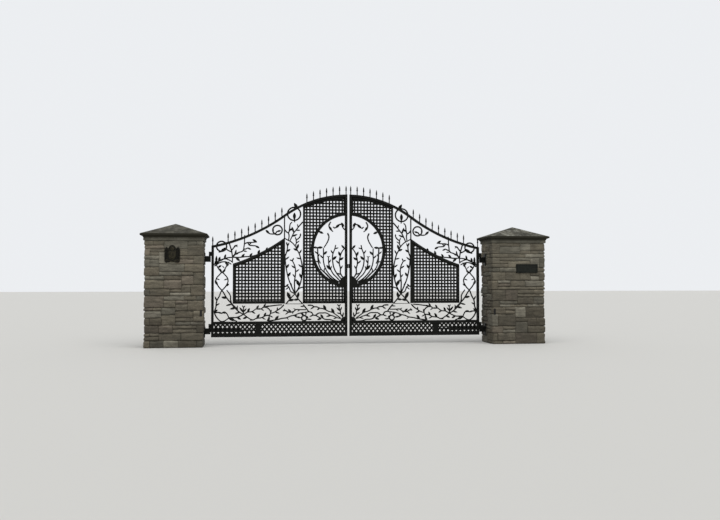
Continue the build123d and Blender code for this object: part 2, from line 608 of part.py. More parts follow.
def cap_view(size):
    """Cap seen square on: hollow moulding, fascia and sloping roof."""
    neck, eave = size / 2 + CORBEL_OUT, size / 2 + EAVE_OUT
    low = SHAFT_HEIGHT + CORBEL_HEIGHT
    fascia = low + COVE_HEIGHT
    top = fascia + FASCIA_HEIGHT
    foot = Line((0, low), (neck, low))
    cove = RadiusArc((neck, low), (eave, fascia), COVE_RADIUS)
    rest = Polyline((eave, fascia), (eave, top), (0, top + CAP_RISE), (0, low))
    half = make_face([foot.edge(), cove.edge(), *rest.edges()])
    return half + mirror(half, Plane.YZ)


def pillar_cap():
    front = extrude(Plane.XZ * cap_view(PILLAR_WIDTH), PILLAR_DEPTH, both=True)
    side = extrude(Plane.YZ * cap_view(PILLAR_DEPTH), PILLAR_WIDTH, both=True)
    return front & side


def on_front(outline, x, z):
    """A plate on the front face of a pillar."""
    wall = Plane(origin=(x, -PILLAR_DEPTH / 2, z), x_dir=(1, 0, 0), z_dir=(0, -1, 0))
    return extrude(wall * outline, PLATE_THICK)


def crest_outline():
    """Plate with a round head between two peaked shoulders, and a hollow foot."""
    side, top = CREST_WIDTH / 2, CREST_HEIGHT / 2
    neck = (-CREST_HEAD, top - CREST_NECK)
    peak = (-CREST_PEAK_OUT, top - CREST_PEAK_DROP)
    shoulder = (-side, top - CREST_SHOULDER_DROP)
    low, corner = (-side, CREST_CORNER - top), (CREST_CORNER - side, -top)
    middle = (0, CREST_HOLLOW - top), (0, neck[1])
    half = make_face(Polyline(neck, peak, shoulder, low, corner, *middle, close=True))
    return half + mirror(half, Plane.YZ) + Pos(0, top - CREST_HEAD) * Circle(CREST_HEAD)


def photo_eyes():
    solids = []
    for x in (PILLAR_WIDTH / 2 - PHOTO_EYE_INSET, 2 * MIDDLE - PILLAR_WIDTH / 2 + PHOTO_EYE_INSET):
        place = Pos(x, -PILLAR_DEPTH / 2 - EYE_DEPTH / 2, PHOTO_EYE_CENTRE)
        solids.append((place * Box(EYE_WIDTH, EYE_DEPTH, EYE_HEIGHT)).solid())
    return Compound(children=solids)


def frame_pieces():
    return {
        "hinge_stile": slab(under_rail(STILE_IN, STILE_OUT, Z_BOTTOM), -HALF_DEPTH, HALF_DEPTH),
        "meeting_stile": slab(under_rail(MEET_OUT, MEET_IN, Z_BOTTOM), -HALF_DEPTH, HALF_DEPTH),
        "top_rail": slab(rail_band(MEET_OUT, STILE_OUT, -HALF_RAIL, HALF_RAIL), -HALF_DEPTH, HALF_DEPTH),
        "band_rail": slab(rect(MEET_IN, STILE_IN, Z_BAND_RAIL, Z_VINES), -HALF_DEPTH, HALF_DEPTH),
        "bottom_rail": slab(rect(MEET_IN, STILE_IN, Z_BOTTOM, Z_BAND), -HALF_DEPTH, HALF_DEPTH),
        "upright": slab(under_rail(UPRIGHT_IN, UPRIGHT_OUT, Z_PANELS), -BAR_THICK, BAR_THICK),
    }


def leaf_pieces():
    pieces = frame_pieces()
    pieces["outer_lattice"] = outer_panel()
    pieces["inner_lattice"] = inner_panel()
    pieces["half_ring"] = half_ring()
    pieces["band_lattice"] = band_lattice()
    pieces["ram_plate"] = ram_plate()
    pieces["spears"] = spears()
    pieces["corner_vines"] = corner_vines()
    pieces["vine_panel"] = vine_panel()
    pieces["ring_vines"] = ring_vines()
    pieces["band_vines"] = band_vines()
    pieces["knuckles"] = knuckles()
    pieces["latch"] = latch()
    pieces["hinge_brackets"] = hinge_brackets()
    pieces["ram_body"] = ram_body()
    pieces["ram_rod"] = ram_rod()
    pieces["ram_bracket"] = ram_bracket()
    return pieces


def save(name, shape):
    export_step(Compound(children=shape.solids()), f"parts/{name}.step")


os.makedirs("parts", exist_ok=True)
hung = Pos(MIDDLE, GATE_SETBACK, 0)
for name, shape in leaf_pieces().items():
    save(f"left_{name}", hung * shape)
    save(f"right_{name}", hung * mirror(shape, Plane.YZ))
save("left_pillar", pillar())
save("right_pillar", Pos(2 * MIDDLE, 0, 0) * pillar())
save("left_cap", pillar_cap())
save("right_cap", Pos(2 * MIDDLE, 0, 0) * pillar_cap())
save("crest_plaque", on_front(crest_outline(), CREST_ASIDE, SHAFT_HEIGHT - CREST_DROP))
number = Rectangle(NUMBER_WIDTH, NUMBER_HEIGHT)
save("number_plaque", on_front(number, 2 * MIDDLE + NUMBER_ASIDE, SHAFT_HEIGHT - NUMBER_DROP))
save("photo_eyes", photo_eyes())
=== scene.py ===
import json
import random
from math import ceil, cos, pi, radians, sin

import bmesh
import bpy
from mathutils import Matrix, Vector, noise
from mathutils.geometry import intersect_point_line

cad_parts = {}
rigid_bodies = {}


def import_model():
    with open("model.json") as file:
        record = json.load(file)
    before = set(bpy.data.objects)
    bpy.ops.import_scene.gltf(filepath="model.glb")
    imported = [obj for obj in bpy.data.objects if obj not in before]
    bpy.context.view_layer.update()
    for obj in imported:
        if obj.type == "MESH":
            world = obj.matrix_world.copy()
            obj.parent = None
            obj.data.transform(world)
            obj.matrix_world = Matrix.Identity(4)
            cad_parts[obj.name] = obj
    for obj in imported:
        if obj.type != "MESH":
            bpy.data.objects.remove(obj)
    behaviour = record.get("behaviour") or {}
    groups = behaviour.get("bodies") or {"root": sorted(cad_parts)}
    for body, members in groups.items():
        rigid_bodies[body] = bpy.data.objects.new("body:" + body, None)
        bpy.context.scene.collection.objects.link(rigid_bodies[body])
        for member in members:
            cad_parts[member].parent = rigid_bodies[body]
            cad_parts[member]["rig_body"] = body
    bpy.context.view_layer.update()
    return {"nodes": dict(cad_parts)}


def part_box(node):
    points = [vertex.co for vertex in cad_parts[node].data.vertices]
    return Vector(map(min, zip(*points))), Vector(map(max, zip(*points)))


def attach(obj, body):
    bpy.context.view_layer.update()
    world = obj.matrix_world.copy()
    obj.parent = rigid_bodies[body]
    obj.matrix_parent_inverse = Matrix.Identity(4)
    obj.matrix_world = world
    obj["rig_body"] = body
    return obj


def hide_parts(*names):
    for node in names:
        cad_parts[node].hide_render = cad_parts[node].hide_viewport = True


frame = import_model()


# Pillar stones
# Each pillar is laid in split ledge stone, random courses two to seven inches high with corner
# stones turned round the corners, nearly dry-jointed over a darker core. Stones are split, so
# each face bulges, its edges are broken back and it stands a little in or out of the wall.
NECK_OUT, NECK_HIGH = 0.015, 0.043  # the moulding at the head of the shaft, above the stones
STONE_ROWS = 28
CELL = 0.043  # spacing on which upright joints are set out
UNEVEN = 0.78, 1.22  # least and most of its even size that a row or a cell has
CORNER_ROWS = 1, 1, 2, 2, 2, 3  # a corner stone's height, one of these by chance
FIELD_ROWS = 1, 1, 2, 2, 3
LONG_LEG, SHORT_LEG = (4, 7), (2, 3)  # fewest and most cells in a corner stone's legs
FIELD_CELLS = 4, 11
GAP_CELLS = 3  # no gap is left narrower than this
RUN_CELLS = 12  # free cells in a row are counted up to this
HALVED_RUN = 10  # a run this long is shared by two stones
JOINT = 0.0030
END_JOINT = 0.0006  # the stones' ends are butted
CORE_BACK = 0.015  # raked mortar behind the stone's face
STONE_DEPTH = 0.080
POINT_STEP = 0.0135  # spacing of the points that a stone's face is shaped by
PROUD = -0.005, 0.008  # how far a stone stands in or out of the wall
TILT = 0.03  # steepest slope of its face, along and up
SPLIT = 0.0085  # how rough a split face is
COARSE, FINE, UNTRUE = 13, 34, 23  # how close its bulges, its chips and a joint's bends are
TOP_SLOPE, TOP_BACK = 0.030, 0.014  # the face leans back over this height, by this much
FOOT_BREAK, FOOT_BACK = 0.014, 0.011
END_BREAK, END_BACK = 0.010, 0.003
WANDER = 0.0035  # how far a joint runs out of line
CALM = 1.05, 1.35  # between these heights the relief dies down to a dressed face
CALM_SHARE = 0.55  # share of the relief that it loses
RAM_TOP = 0.27  # below this height the sides are dressed back for the rams
RAM_ROOM = 0.004  # how far they may stand out there
STONE_TINTS = (
    (0.102, 0.090, 0.066), (0.112, 0.099, 0.073), (0.094, 0.082, 0.060),
    (0.097, 0.090, 0.070), (0.109, 0.093, 0.071), (0.088, 0.078, 0.058),
)
TINTED = 0.84  # share of the stones in these tints, the others are pale
PALE_STONE = (0.142, 0.131, 0.103)
CORE_TINT = (0.070, 0.064, 0.049)
LEDGE_LIGHT, FOOT_DARK = 0.52, 0.48  # a stone's top edge is painted lighter, a painted highlight where light falls on it, and its foot painted darker, a painted shade
MEAN_TONE = 1.02
FOOT_SPREAD, HEAD_SPREAD = 0.34, 0.12  # how far tones differ at the pillar's foot and head
FOOT_TONE, HEAD_TONE = 0.92, 1.28  # and how light the stones are painted there, lighter at the head as painted light against the cap's shade
PAINTED_LIGHT_HEIGHTS = 0.40, 0.80  # shares of the height between which the painted light makes them lighter
TINY = 1e-5  # lengths below this count as none


def walk(rng, count, total):
    """Uneven steps that add up to a length."""
    steps = [rng.uniform(*UNEVEN) for _ in range(count)]
    marks = [0.0]
    for step in steps:
        marks.append(marks[-1] + step * total / sum(steps))
    return marks


def set_out(rng, sides):
    """Stones as (first cell, cells, first row, rows) round the pillar, corner stones first."""
    around = sum(sides)
    taken = [[False] * around for _ in range(STONE_ROWS)]
    stones = []

    def lay(first, cells, row, rows):
        for r in range(row, row + rows):
            for c in range(first, first + cells):
                taken[r][c % around] = True
        stones.append((first % around, cells, row, rows))

    def fits(row, cell, cells):
        """Whether a stone finds room in a higher row and leaves no narrow gap beside it."""
        if any(taken[row][(cell + c) % around] for c in range(cells)):
            return False
        for start, way in ((cell - 1, -1), (cell + cells, 1)):
            free = 0
            while free < GAP_CELLS and not taken[row][(start + way * free) % around]:
                free += 1
            if 0 < free < GAP_CELLS:
                return False
        return True

    corner = 0
    for side in sides:
        row, long_side = 0, rng.random() < 0.5
        while row < STONE_ROWS:
            rows = min(rng.choice(CORNER_ROWS), STONE_ROWS - row)
            back, on = (rng.randint(*LONG_LEG), rng.randint(*SHORT_LEG))[::1 if long_side else -1]
            lay(corner - back + around, back + on, row, rows)
            row, long_side = row + rows, not long_side
        corner += side
    for row in range(STONE_ROWS):
        for cell in range(around):
            if taken[row][cell]:
                continue
            room = 1
            while room < RUN_CELLS and not taken[row][(cell + room) % around]:
                room += 1
            cells = min(rng.randint(*FIELD_CELLS), room)
            if room - cells < GAP_CELLS:
                cells = room if room < HALVED_RUN else room // 2
            rows = min(rng.choice(FIELD_ROWS), STONE_ROWS - row)
            while rows > 1 and not all(fits(row + r, cell, cells) for r in range(1, rows)):
                rows -= 1
            lay(cell, cells, row, rows)
    return stones


def ramp(value, low, high):
    """0 below low and 1 above high."""
    return min(1.0, max(0.0, (value - low) / (high - low)))


def closeness(gap, reach):
    """1 at an edge, falling to 0 at this reach from it."""
    return max(0.0, 1 - gap / reach)


def add_part(bm, part, place=(0, 0, 0)):
    """Adds a finished part to the piece it belongs to, moved to its place."""
    mesh = bpy.data.meshes.new("part")
    part.to_mesh(mesh)
    part.free()
    mesh.transform(Matrix.Translation(place))
    bm.from_mesh(mesh)
    bpy.data.meshes.remove(mesh)


def made_piece(bm, name):
    """The object that a finished bmesh becomes."""
    mesh = bpy.data.meshes.new(name)
    bm.to_mesh(mesh)
    bm.free()
    piece = bpy.data.objects.new(name, mesh)
    bpy.context.scene.collection.objects.link(piece)
    return piece


def cut_stone(wall, low, high, faces, colour, rng):
    """One split stone: a block whose outer faces are rough and set back at their edges."""
    size, middle = high - low, (low + high) / 2
    bm = bmesh.new()
    bmesh.ops.create_cube(bm, size=1.0)
    bmesh.ops.scale(bm, vec=size, verts=bm.verts)
    bmesh.ops.translate(bm, vec=middle, verts=bm.verts)
    for axis in range(3):
        cuts = max(0, ceil(size[axis] / POINT_STEP) - 1)
        if len(faces) == 1 and axis == faces[0][0]:
            cuts = 0
        along = [e for e in bm.edges if abs((e.verts[0].co - e.verts[1].co)[axis]) > TINY]
        if cuts:
            bmesh.ops.subdivide_edges(bm, edges=along, cuts=cuts, use_grid_fill=True)
    shift = Vector([rng.uniform(-50, 50) for _ in range(3)])
    proud = rng.uniform(*PROUD)
    tilt = [rng.uniform(-TILT, TILT) for _ in range(3)]
    calm = 1.0 - CALM_SHARE * ramp(middle.z, *CALM)
    for v in bm.verts:
        at = v.co.copy()
        move = Vector()
        for axis, way in faces:
            edge = high[axis] if way > 0 else low[axis]
            if abs(at[axis] - edge) > TINY:
                continue
            others = [a for a in range(3) if a != axis]
            run = others[0]
            top = closeness(high.z - at.z, TOP_SLOPE)
            foot = closeness(at.z - low.z, FOOT_BREAK)
            end = closeness(min(at[run] - low[run], high[run] - at[run]), END_BREAK)
            rough = noise.noise(at * COARSE + shift) + 0.5 * noise.noise(at * FINE + shift)
            slope = sum((at[a] - middle[a]) * tilt[a] for a in others)
            back = TOP_BACK * top**1.5 + FOOT_BACK * foot**2 + END_BACK * end**2
            out = calm * (proud + slope + SPLIT * rough - back)
            if axis == 0 and low.z < RAM_TOP:
                out = min(out, RAM_ROOM)
            move[axis] += way * out
        if move.length > 0:
            for axis in {0, 1, 2} - {a for a, _ in faces}:
                move[axis] += WANDER * noise.noise(at * UNTRUE + shift * 2)
        v.co = at + move
        v.co.z = max(v.co.z, 0.0)
    tint = bm.loops.layers.float_color.new("stone")
    for face in bm.faces:
        face.smooth = True
        for loop in face.loops:
            z = loop.vert.co.z
            # painted highlight along each stone's top edge and painted shade at its foot, mixed into its
            # colour
            ledge, foot_shade = closeness(high.z - z, TOP_SLOPE), closeness(z - low.z, FOOT_BREAK)
            wear_and_painted_light = 1 + calm * (LEDGE_LIGHT * ledge - FOOT_DARK * foot_shade)
            loop[tint] = (*[c * wear_and_painted_light for c in colour], 1.0)
    add_part(wall, bm)


def stone_pillar(name, node, seed):
    rng = random.Random(seed)
    low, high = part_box(node)
    low, high = low + Vector((NECK_OUT, NECK_OUT, 0)), high - Vector((NECK_OUT, NECK_OUT, NECK_HIGH))
    wide, deep, tall = high.x - low.x, high.y - low.y, high.z
    lengths = (wide, deep) * 2
    sides = [round(length / CELL) for length in lengths]
    outward = (1, -1), (0, 1), (1, 1), (0, -1)
    levels = walk(rng, STONE_ROWS, tall)
    marks = [walk(rng, n, length) for n, length in zip(sides, lengths)]
    starts = [sum(sides[:k]) for k in range(4)]
    bm = bmesh.new()
    tint = bm.loops.layers.float_color.new("stone")

    def spot(cell):
        """Side and distance along it."""
        cell %= sum(sides)
        side = max(k for k in range(4) if starts[k] <= cell)
        return side, marks[side][cell - starts[side]]

    def block(side, p, q, z0, z1):
        """Low and high corner of a block that stands from p to q along a side."""
        if side > 1:
            p, q = lengths[side] - q, lengths[side] - p
        if side % 2:
            x = low.x if side == 3 else high.x - STONE_DEPTH
            return Vector((x, low.y + p, z0)), Vector((x + STONE_DEPTH, low.y + q, z1))
        y = low.y if side == 0 else high.y - STONE_DEPTH
        return Vector((low.x + p, y, z0)), Vector((low.x + q, y + STONE_DEPTH, z1))

    for first, cells, row, rows in set_out(rng, sides):
        z0, z1 = levels[row] + JOINT / 2, levels[row + rows] - JOINT / 2
        side, a = spot(first)
        end_side, b = spot(first + cells)
        if end_side != side and b == 0.0:
            end_side, b = side, lengths[side]
        faces = [outward[side]]
        if end_side == side:
            lo, hi = block(side, a + END_JOINT / 2, b - END_JOINT / 2, z0, z1)
        else:
            faces.append(outward[end_side])
            lo, hi = block(side, a + END_JOINT / 2, lengths[side], z0, z1)
            lo2, hi2 = block(end_side, 0.0, b - END_JOINT / 2, z0, z1)
            lo = Vector([min(p, q) for p, q in zip(lo, lo2)])
            hi = Vector([max(p, q) for p, q in zip(hi, hi2)])
        shade = rng.choice(STONE_TINTS) if rng.random() < TINTED else PALE_STONE
        spread = FOOT_SPREAD + (HEAD_SPREAD - FOOT_SPREAD) * z0 / tall
        tone = rng.uniform(MEAN_TONE - spread, MEAN_TONE + spread)
        # painted light: the stones are painted lighter up the shaft, to offset the shade under the cap
        tone *= FOOT_TONE + (HEAD_TONE - FOOT_TONE) * ramp(z0 / tall, *PAINTED_LIGHT_HEIGHTS)
        cut_stone(bm, lo, hi, faces, [c * tone for c in shade], rng)
    core = bmesh.ops.create_cube(bm, size=1.0)["verts"]
    bmesh.ops.scale(bm, vec=(wide - 2 * CORE_BACK, deep - 2 * CORE_BACK, tall), verts=core)
    bmesh.ops.translate(bm, vec=((low.x + high.x) / 2, (low.y + high.y) / 2, tall / 2), verts=core)
    for face in {f for v in core for f in v.link_faces}:
        for loop in face.loops:
            loop[tint] = (*CORE_TINT, 1.0)
    piece = made_piece(bm, name)
    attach(piece, "root")
    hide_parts(node)
    return piece


class Pattern:
    """A socket in a material's tree, so that a finish is written as sums and mixes."""

    def __init__(self, tree, socket=None):
        self.tree = tree
        self.socket = socket

    def node(self, kind, settings=None, sockets=None, out=0):
        made = self.tree.nodes.new(kind)
        for key, value in (settings or {}).items():
            setattr(made, key, value)
        for key, value in (sockets or {}).items():
            if isinstance(value, Pattern):
                self.tree.links.new(value.socket, made.inputs[key])
            else:
                made.inputs[key].default_value = value
        return Pattern(self.tree, made.outputs[out])

    def combine(self, operation, other, flip=False):
        pair = (other, self) if flip else (self, other)
        return self.node("ShaderNodeMath", {"operation": operation}, dict(enumerate(pair)))

    def __add__(self, other):
        return self.combine("ADD", other)

    def __sub__(self, other):
        return self.combine("SUBTRACT", other)

    def __rsub__(self, other):
        return self.combine("SUBTRACT", other, flip=True)

    def __mul__(self, other):
        return self.combine("MULTIPLY", other)

    __radd__ = __add__
    __rmul__ = __mul__

    def between(self, low, high):
        """0 below low, 1 above high, smooth between."""
        return self.node("ShaderNodeMapRange", {"interpolation_type": "SMOOTHSTEP"},
                         {"Value": self, "From Min": low, "From Max": high})

    def blend(self, first, second):
        """first where this is 0, second where it is 1."""
        pair = [p if isinstance(p, Pattern) else (*p, 1.0) for p in (first, second)]
        return self.node("ShaderNodeMix", {"data_type": "RGBA"}, {0: self, 6: pair[0], 7: pair[1]}, out=2)

    def noise(self, scale, detail=3.0, rough=0.55):
        return self.node("ShaderNodeTexNoise", None,
                         {"Vector": self, "Scale": scale, "Detail": detail, "Roughness": rough})

    def stretched(self, x, y, z):
        return self.node("ShaderNodeMapping", None, {"Vector": self, "Scale": (x, y, z)})


def finish(name):
    """A new material: itself, its surface shader and its Object coordinates."""
    made = bpy.data.materials.new(name)
    made.use_nodes = True
    tree = made.node_tree
    place = Pattern(tree).node("ShaderNodeTexCoord", out=3)
    return made, tree.nodes["Principled BSDF"], place


def plug(shader, bump=None, height=0.002, **sockets):
    """Joins patterns and values to a surface shader's sockets."""
    tree = shader.id_data
    for key, value in sockets.items():
        socket = shader.inputs[key.replace("_", " ")]
        if isinstance(value, Pattern):
            tree.links.new(value.socket, socket)
        else:
            socket.default_value = (*value, 1.0) if isinstance(value, tuple) else value
    if bump:
        bumped = bump.node("ShaderNodeBump", None, {"Height": bump, "Distance": height})
        tree.links.new(bumped.socket, shader.inputs["Normal"])


SPLASH = 0.10, 0.75  # dirt thrown up by rain fades out between these heights


def ledge_stone():
    made, shader, place = finish("ledge stone")
    own = place.node("ShaderNodeVertexColor", {"layer_name": "stone"})
    bedding = place.stretched(1, 1, 4).noise(9.0, 4.0)
    grain = place.noise(70.0, 4.0, 0.65)
    stain = place.noise(2.3, 3.0)
    tone = bedding * 0.55 + grain * 0.45
    height = place.node("ShaderNodeSeparateXYZ", None, {"Vector": place}, out=2)
    light = own.node("ShaderNodeVectorMath", {"operation": "SCALE"}, {0: own, "Scale": 1.34})
    dark = own.node("ShaderNodeVectorMath", {"operation": "SCALE"}, {0: own, "Scale": 0.68})
    colour = tone.between(0.36, 0.64).blend(dark, light)
    colour = (stain.between(0.48, 0.70) * 0.40).blend(colour, (0.060, 0.057, 0.044))
    low = (1 - height.between(*SPLASH)) * stain.between(0.30, 0.60) * 0.28
    colour = low.blend(colour, (0.048, 0.041, 0.030))
    plug(shader, bump=grain * 0.6 + bedding * 0.4, height=0.004, Base_Color=colour,
         Roughness=tone * 0.15 + 0.80, Specular_IOR_Level=0.25)
    return made


STONE = ledge_stone()
for hand, seed in (("left", 7), ("right", 21)):
    stone_pillar(f"{hand}_pillar_stones", f"{hand}_pillar", seed).data.materials.append(STONE)


# Caps and neck mouldings
# Each pillar carries a cast stone cap: a low pyramid over a square eave, with a hollow moulding
# under it, on a neck band with a rounded foot. Its top is mottled with lichen, and the edge of
# the eave and what it shelters are painted dark, a painted shade under the eave's overhang.
NECK_PROFILE = (  # out from the shaft and up from the band's foot
    (-0.012, 0.000), (0.003, 0.000), (0.009, 0.003), (0.013, 0.008), (0.015, 0.014), (0.015, 0.034),
    (0.012, 0.039), (0.006, 0.0425), (-0.012, 0.0425),
)
NECK_CORNER = 0.003
EAVE_FOOT, EAVE_HEAD = 1.640, 1.712  # heights between which the eave is painted dark as painted shade
FADE = 0.012  # height over which the eave's painted shade and the lichen on the top start and end
LICHEN = {"left": (0.130, 0.125, 0.106), "right": (0.270, 0.270, 0.230)}
SOOT = {"left": 0.70, "right": 0.72}  # how much of the cap's top is grimy


def cast_stone(name, lichen, soot):
    made, shader, place = finish(name)
    blotch = place.noise(6.0, 5.0, 0.6)
    fine = place.noise(60.0, 4.0)
    mottle = place.noise(17.0, 5.0, 0.7)
    grime = place.noise(5.0, 5.0, 0.65)
    run = place.stretched(1, 1, 0.3).noise(22.0, 3.0)
    height = place.node("ShaderNodeSeparateXYZ", None, {"Vector": place}, out=2)
    colour = blotch.between(0.40, 0.62).blend((0.092, 0.087, 0.068), (0.125, 0.119, 0.095))
    colour = (run.between(0.50, 0.70) * 0.45).blend(colour, (0.050, 0.049, 0.038))
    top = height.between(EAVE_HEAD - FADE, EAVE_HEAD)
    above = height.between(EAVE_HEAD - 0.75 * FADE, EAVE_HEAD)
    # painted shade: the eave's edge and the hollow moulding under it are painted near black
    edge = height.between(EAVE_FOOT, EAVE_FOOT + FADE) * (1 - above)
    colour = (mottle.between(0.44, 0.66) * top).blend(colour, lichen)
    colour = (fine.between(0.55, 0.75) * 0.25).blend(colour, (0.150, 0.144, 0.120))
    colour = (grime.between(0.40, 0.58) * top * soot).blend(colour, (0.026, 0.025, 0.020))
    colour = (edge * 0.94).blend(colour, (0.018, 0.017, 0.011))
    plug(shader, bump=blotch * 0.4 + fine * 0.6, height=0.003, Base_Color=colour, Roughness=0.88,
         Specular_IOR_Level=0.12)
    return made


def neck_band(name, node, finish_used):
    """The moulded band round the pillar under its cap."""
    low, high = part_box(node)
    bm = bmesh.new()
    rings = []
    for out, up in NECK_PROFILE:
        reach = out - NECK_OUT
        corners = ((low.x - reach, low.y - reach), (high.x + reach, low.y - reach),
                   (high.x + reach, high.y + reach), (low.x - reach, high.y + reach))
        rings.append([bm.verts.new((x, y, high.z - NECK_HIGH + up)) for x, y in corners])
    for below, above in zip(rings, rings[1:]):
        for k in range(4):
            bm.faces.new((below[k], below[(k + 1) % 4], above[(k + 1) % 4], above[k]))
    bm.faces.new(rings[0][::-1])
    bm.faces.new(rings[-1])
    upright = [e for e in bm.edges if abs(e.verts[0].co.z - e.verts[1].co.z) > TINY]
    bmesh.ops.bevel(bm, geom=upright, offset=NECK_CORNER, segments=2, profile=0.5, affect="EDGES",
                    material=-1)
    piece = made_piece(bm, name)
    piece.data.materials.append(finish_used)
    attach(piece, "root")
    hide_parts(node)


def coat(node, look):
    """Gives a node its finish, in place of the one it came with."""
    node.data.materials.clear()
    node.data.materials.append(look)


for hand in ("left", "right"):
    cast = cast_stone(f"{hand} cast stone", LICHEN[hand], SOOT[hand])
    coat(frame["nodes"][f"{hand}_cap"], cast)
    neck_band(f"{hand}_neck", f"{hand}_pillar", cast)


# Ironwork
# The leaves are welded steel tube, flat bar and forged stems, all one satin black coat over
# slightly uneven metal.
def satin_black():
    made, shader, place = finish("satin black")
    hammer = place.noise(120.0, 2.0)
    wear = place.noise(9.0, 4.0, 0.6)
    colour = wear.between(0.45, 0.75).blend((0.0040, 0.0043, 0.0033), (0.0075, 0.0080, 0.0060))
    plug(shader, bump=hammer, height=0.0006, Base_Color=colour, Roughness=wear * 0.2 + 0.38,
         Specular_IOR_Level=0.12)
    return made


BLACK = satin_black()
for name, node in frame["nodes"].items():
    if node["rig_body"] != "root" or "bracket" in name:
        coat(node, BLACK)


# Ram openers and photo eyes
# Each ram is a long metal housing painted black, with a drawn steel rod that is dulled by oil.
# The photo eyes are small matt black plastic housings, screwed to the stones.
def dark_finish(name, dark, light, rough, metal, scale):
    made, shader, place = finish(name)
    wear = place.noise(scale, 4.0, 0.6)
    plug(shader, bump=wear, height=0.0004, Base_Color=wear.between(0.42, 0.70).blend(dark, light),
         Roughness=wear * 0.2 + rough, Metallic=metal, Specular_IOR_Level=0.2)
    return made


HOUSING = dark_finish("ram housing", (0.006, 0.006, 0.006), (0.011, 0.011, 0.010), 0.35, 0.0, 30.0)
ROD = dark_finish("oiled rod", (0.090, 0.090, 0.092), (0.150, 0.150, 0.155), 0.25, 1.0, 60.0)
EYE = dark_finish("matt plastic", (0.010, 0.010, 0.009), (0.018, 0.018, 0.016), 0.60, 0.0, 90.0)
for name, look in (("left_ram_body", HOUSING), ("right_ram_body", HOUSING), ("left_ram_rod", ROD),
                   ("right_ram_rod", ROD), ("photo_eyes", EYE)):
    coat(frame["nodes"][name], look)


# Forged vines
# The open parts of each leaf hold round stems, drawn down to a taper, bent by hand and welded
# where they cross or meet the frame, with single forged leaves, narrow or broad, welded on along
# them. Their points are millimetres outwards from the gate's middle and up from the ground.
STEM_RADIUS = 0.0125
STEM_TIP = 0.80  # share of the radius left at a stem's end
LEAF_LENGTH = 0.080
LEAF_WIDTH = 0.0275
LEAF_THICK = 0.0032
LEAF_HOLLOW = 0.005  # how deep the midrib lies
LEAF_CURL = 0.007  # how far the tip is turned up
LEAF_ROOT, LEAF_BELLY = 0.42, 0.66  # share of its width at the root, and how much is added half way
NARROW, BROAD = 0.85, 1.25  # a leaf's width next to its length
LEAF_REACH = 0.030  # a leaf this near to a stem is welded on to it, or else to the frame
CROSSING = 0.0015  # stems stand this far before or behind each other, so that they can cross
SILL_RADIUS = 0.006  # a thin bar under the vine panel
SILL_DROP = 0.005
# A stem is a line of points. A leaf is its root, its tip and a 1 if it is broad.
PANEL_STEMS = (
    ((846, 793), (854, 974), (838, 1140), (849, 1228), (888, 1314)),
    ((846, 793), (901, 914), (945, 1024), (975, 1145), (995, 1283), (1002, 1393)),
    ((846, 793), (780, 908), (747, 1019), (732, 1135), (735, 1240), (755, 1339), (779, 1420), (808, 1476),
     (846, 1546), (910, 1612), (956, 1635), (1009, 1666)),
    ((998, 1393), (976, 1460), (965, 1537), (976, 1601)),
    ((983, 639), (912, 727), (846, 793)),
    ((728, 638), (796, 715), (846, 793)),
    ((1010, 909), (957, 913), (912, 833), (846, 793)),
    ((713, 900), (761, 888), (791, 864), (846, 793)),
    ((725, 1927), (791, 1850), (831, 1797), (866, 1753), (894, 1698), (925, 1630)),
    ((765, 1697), (791, 1666), (827, 1636), (826, 1593), (846, 1546)),
    ((1014, 1804), (952, 1758), (936, 1802), (922, 1891), (895, 1922)),
    ((952, 1758), (941, 1714), (950, 1636)),
    ((856, 2063), (858, 1969), (853, 1918)),
)
PANEL_LEAVES = (
    (888, 1310, 932, 1330, 1), (890, 1314, 866, 1359, 1), (848, 1193, 905, 1241), (838, 1136, 779, 1180),
    (849, 1052, 885, 1107), (853, 977, 824, 1027), (982, 1197, 942, 1261, 1), (949, 1068, 916, 1133, 1),
    (896, 906, 909, 966), (995, 1329, 937, 1380), (777, 921, 825, 1014, 1), (745, 1041, 777, 1114, 1),
    (735, 1209, 797, 1257), (760, 1342, 828, 1361), (779, 1425, 743, 1491), (812, 1474, 874, 1505, 1),
    (818, 1500, 791, 1579, 1), (976, 1457, 918, 1496, 1), (966, 1539, 938, 1603), (967, 1544, 987, 1609),
    (940, 732, 968, 823, 1), (805, 730, 788, 822, 1), (787, 710, 867, 697, 1), (926, 675, 858, 703, 1),
    (948, 897, 994, 858), (984, 909, 946, 950, 1), (801, 1838, 811, 1896), (833, 1795, 762, 1795),
    (866, 1755, 898, 1851), (894, 1696, 809, 1730), (765, 1697, 758, 1748, 1), (827, 1636, 847, 1694),
    (826, 1593, 776, 1629), (940, 1787, 879, 1827, 1), (807, 2131, 863, 2224, 1), (856, 1967, 858, 2071, 1),
)
RING_STEMS = (
    ((491, 1523), (486, 1420), (476, 1346), (447, 1271)),
    ((106, 1895), (147, 1891), (177, 1871), (200, 1843), (234, 1832)),
    ((283, 1934), (311, 1870), (283, 1811), (245, 1777)),
    ((332, 1754), (311, 1698), (326, 1631), (354, 1578), (389, 1524)),
    ((110, 1921), (91, 1850), (57, 1805)),
    ((79, 1038), (127, 1122), (127, 1191), (145, 1276), (129, 1391), (102, 1461), (54, 1523)),
    ((106, 1018), (179, 1107), (226, 1191), (247, 1276), (250, 1414), (217, 1506), (203, 1568)),
    ((133, 992), (179, 1045), (241, 1107), (280, 1176), (311, 1260), (318, 1379)),
    ((148, 976), (241, 1038), (310, 1107), (364, 1191), (399, 1321), (397, 1413), (399, 1517)),
    ((164, 965), (272, 1022), (380, 1130), (434, 1183), (476, 1283), (488, 1421), (492, 1520)),
    ((156, 970), (272, 1030), (341, 1099), (387, 1153), (372, 1206)),
)
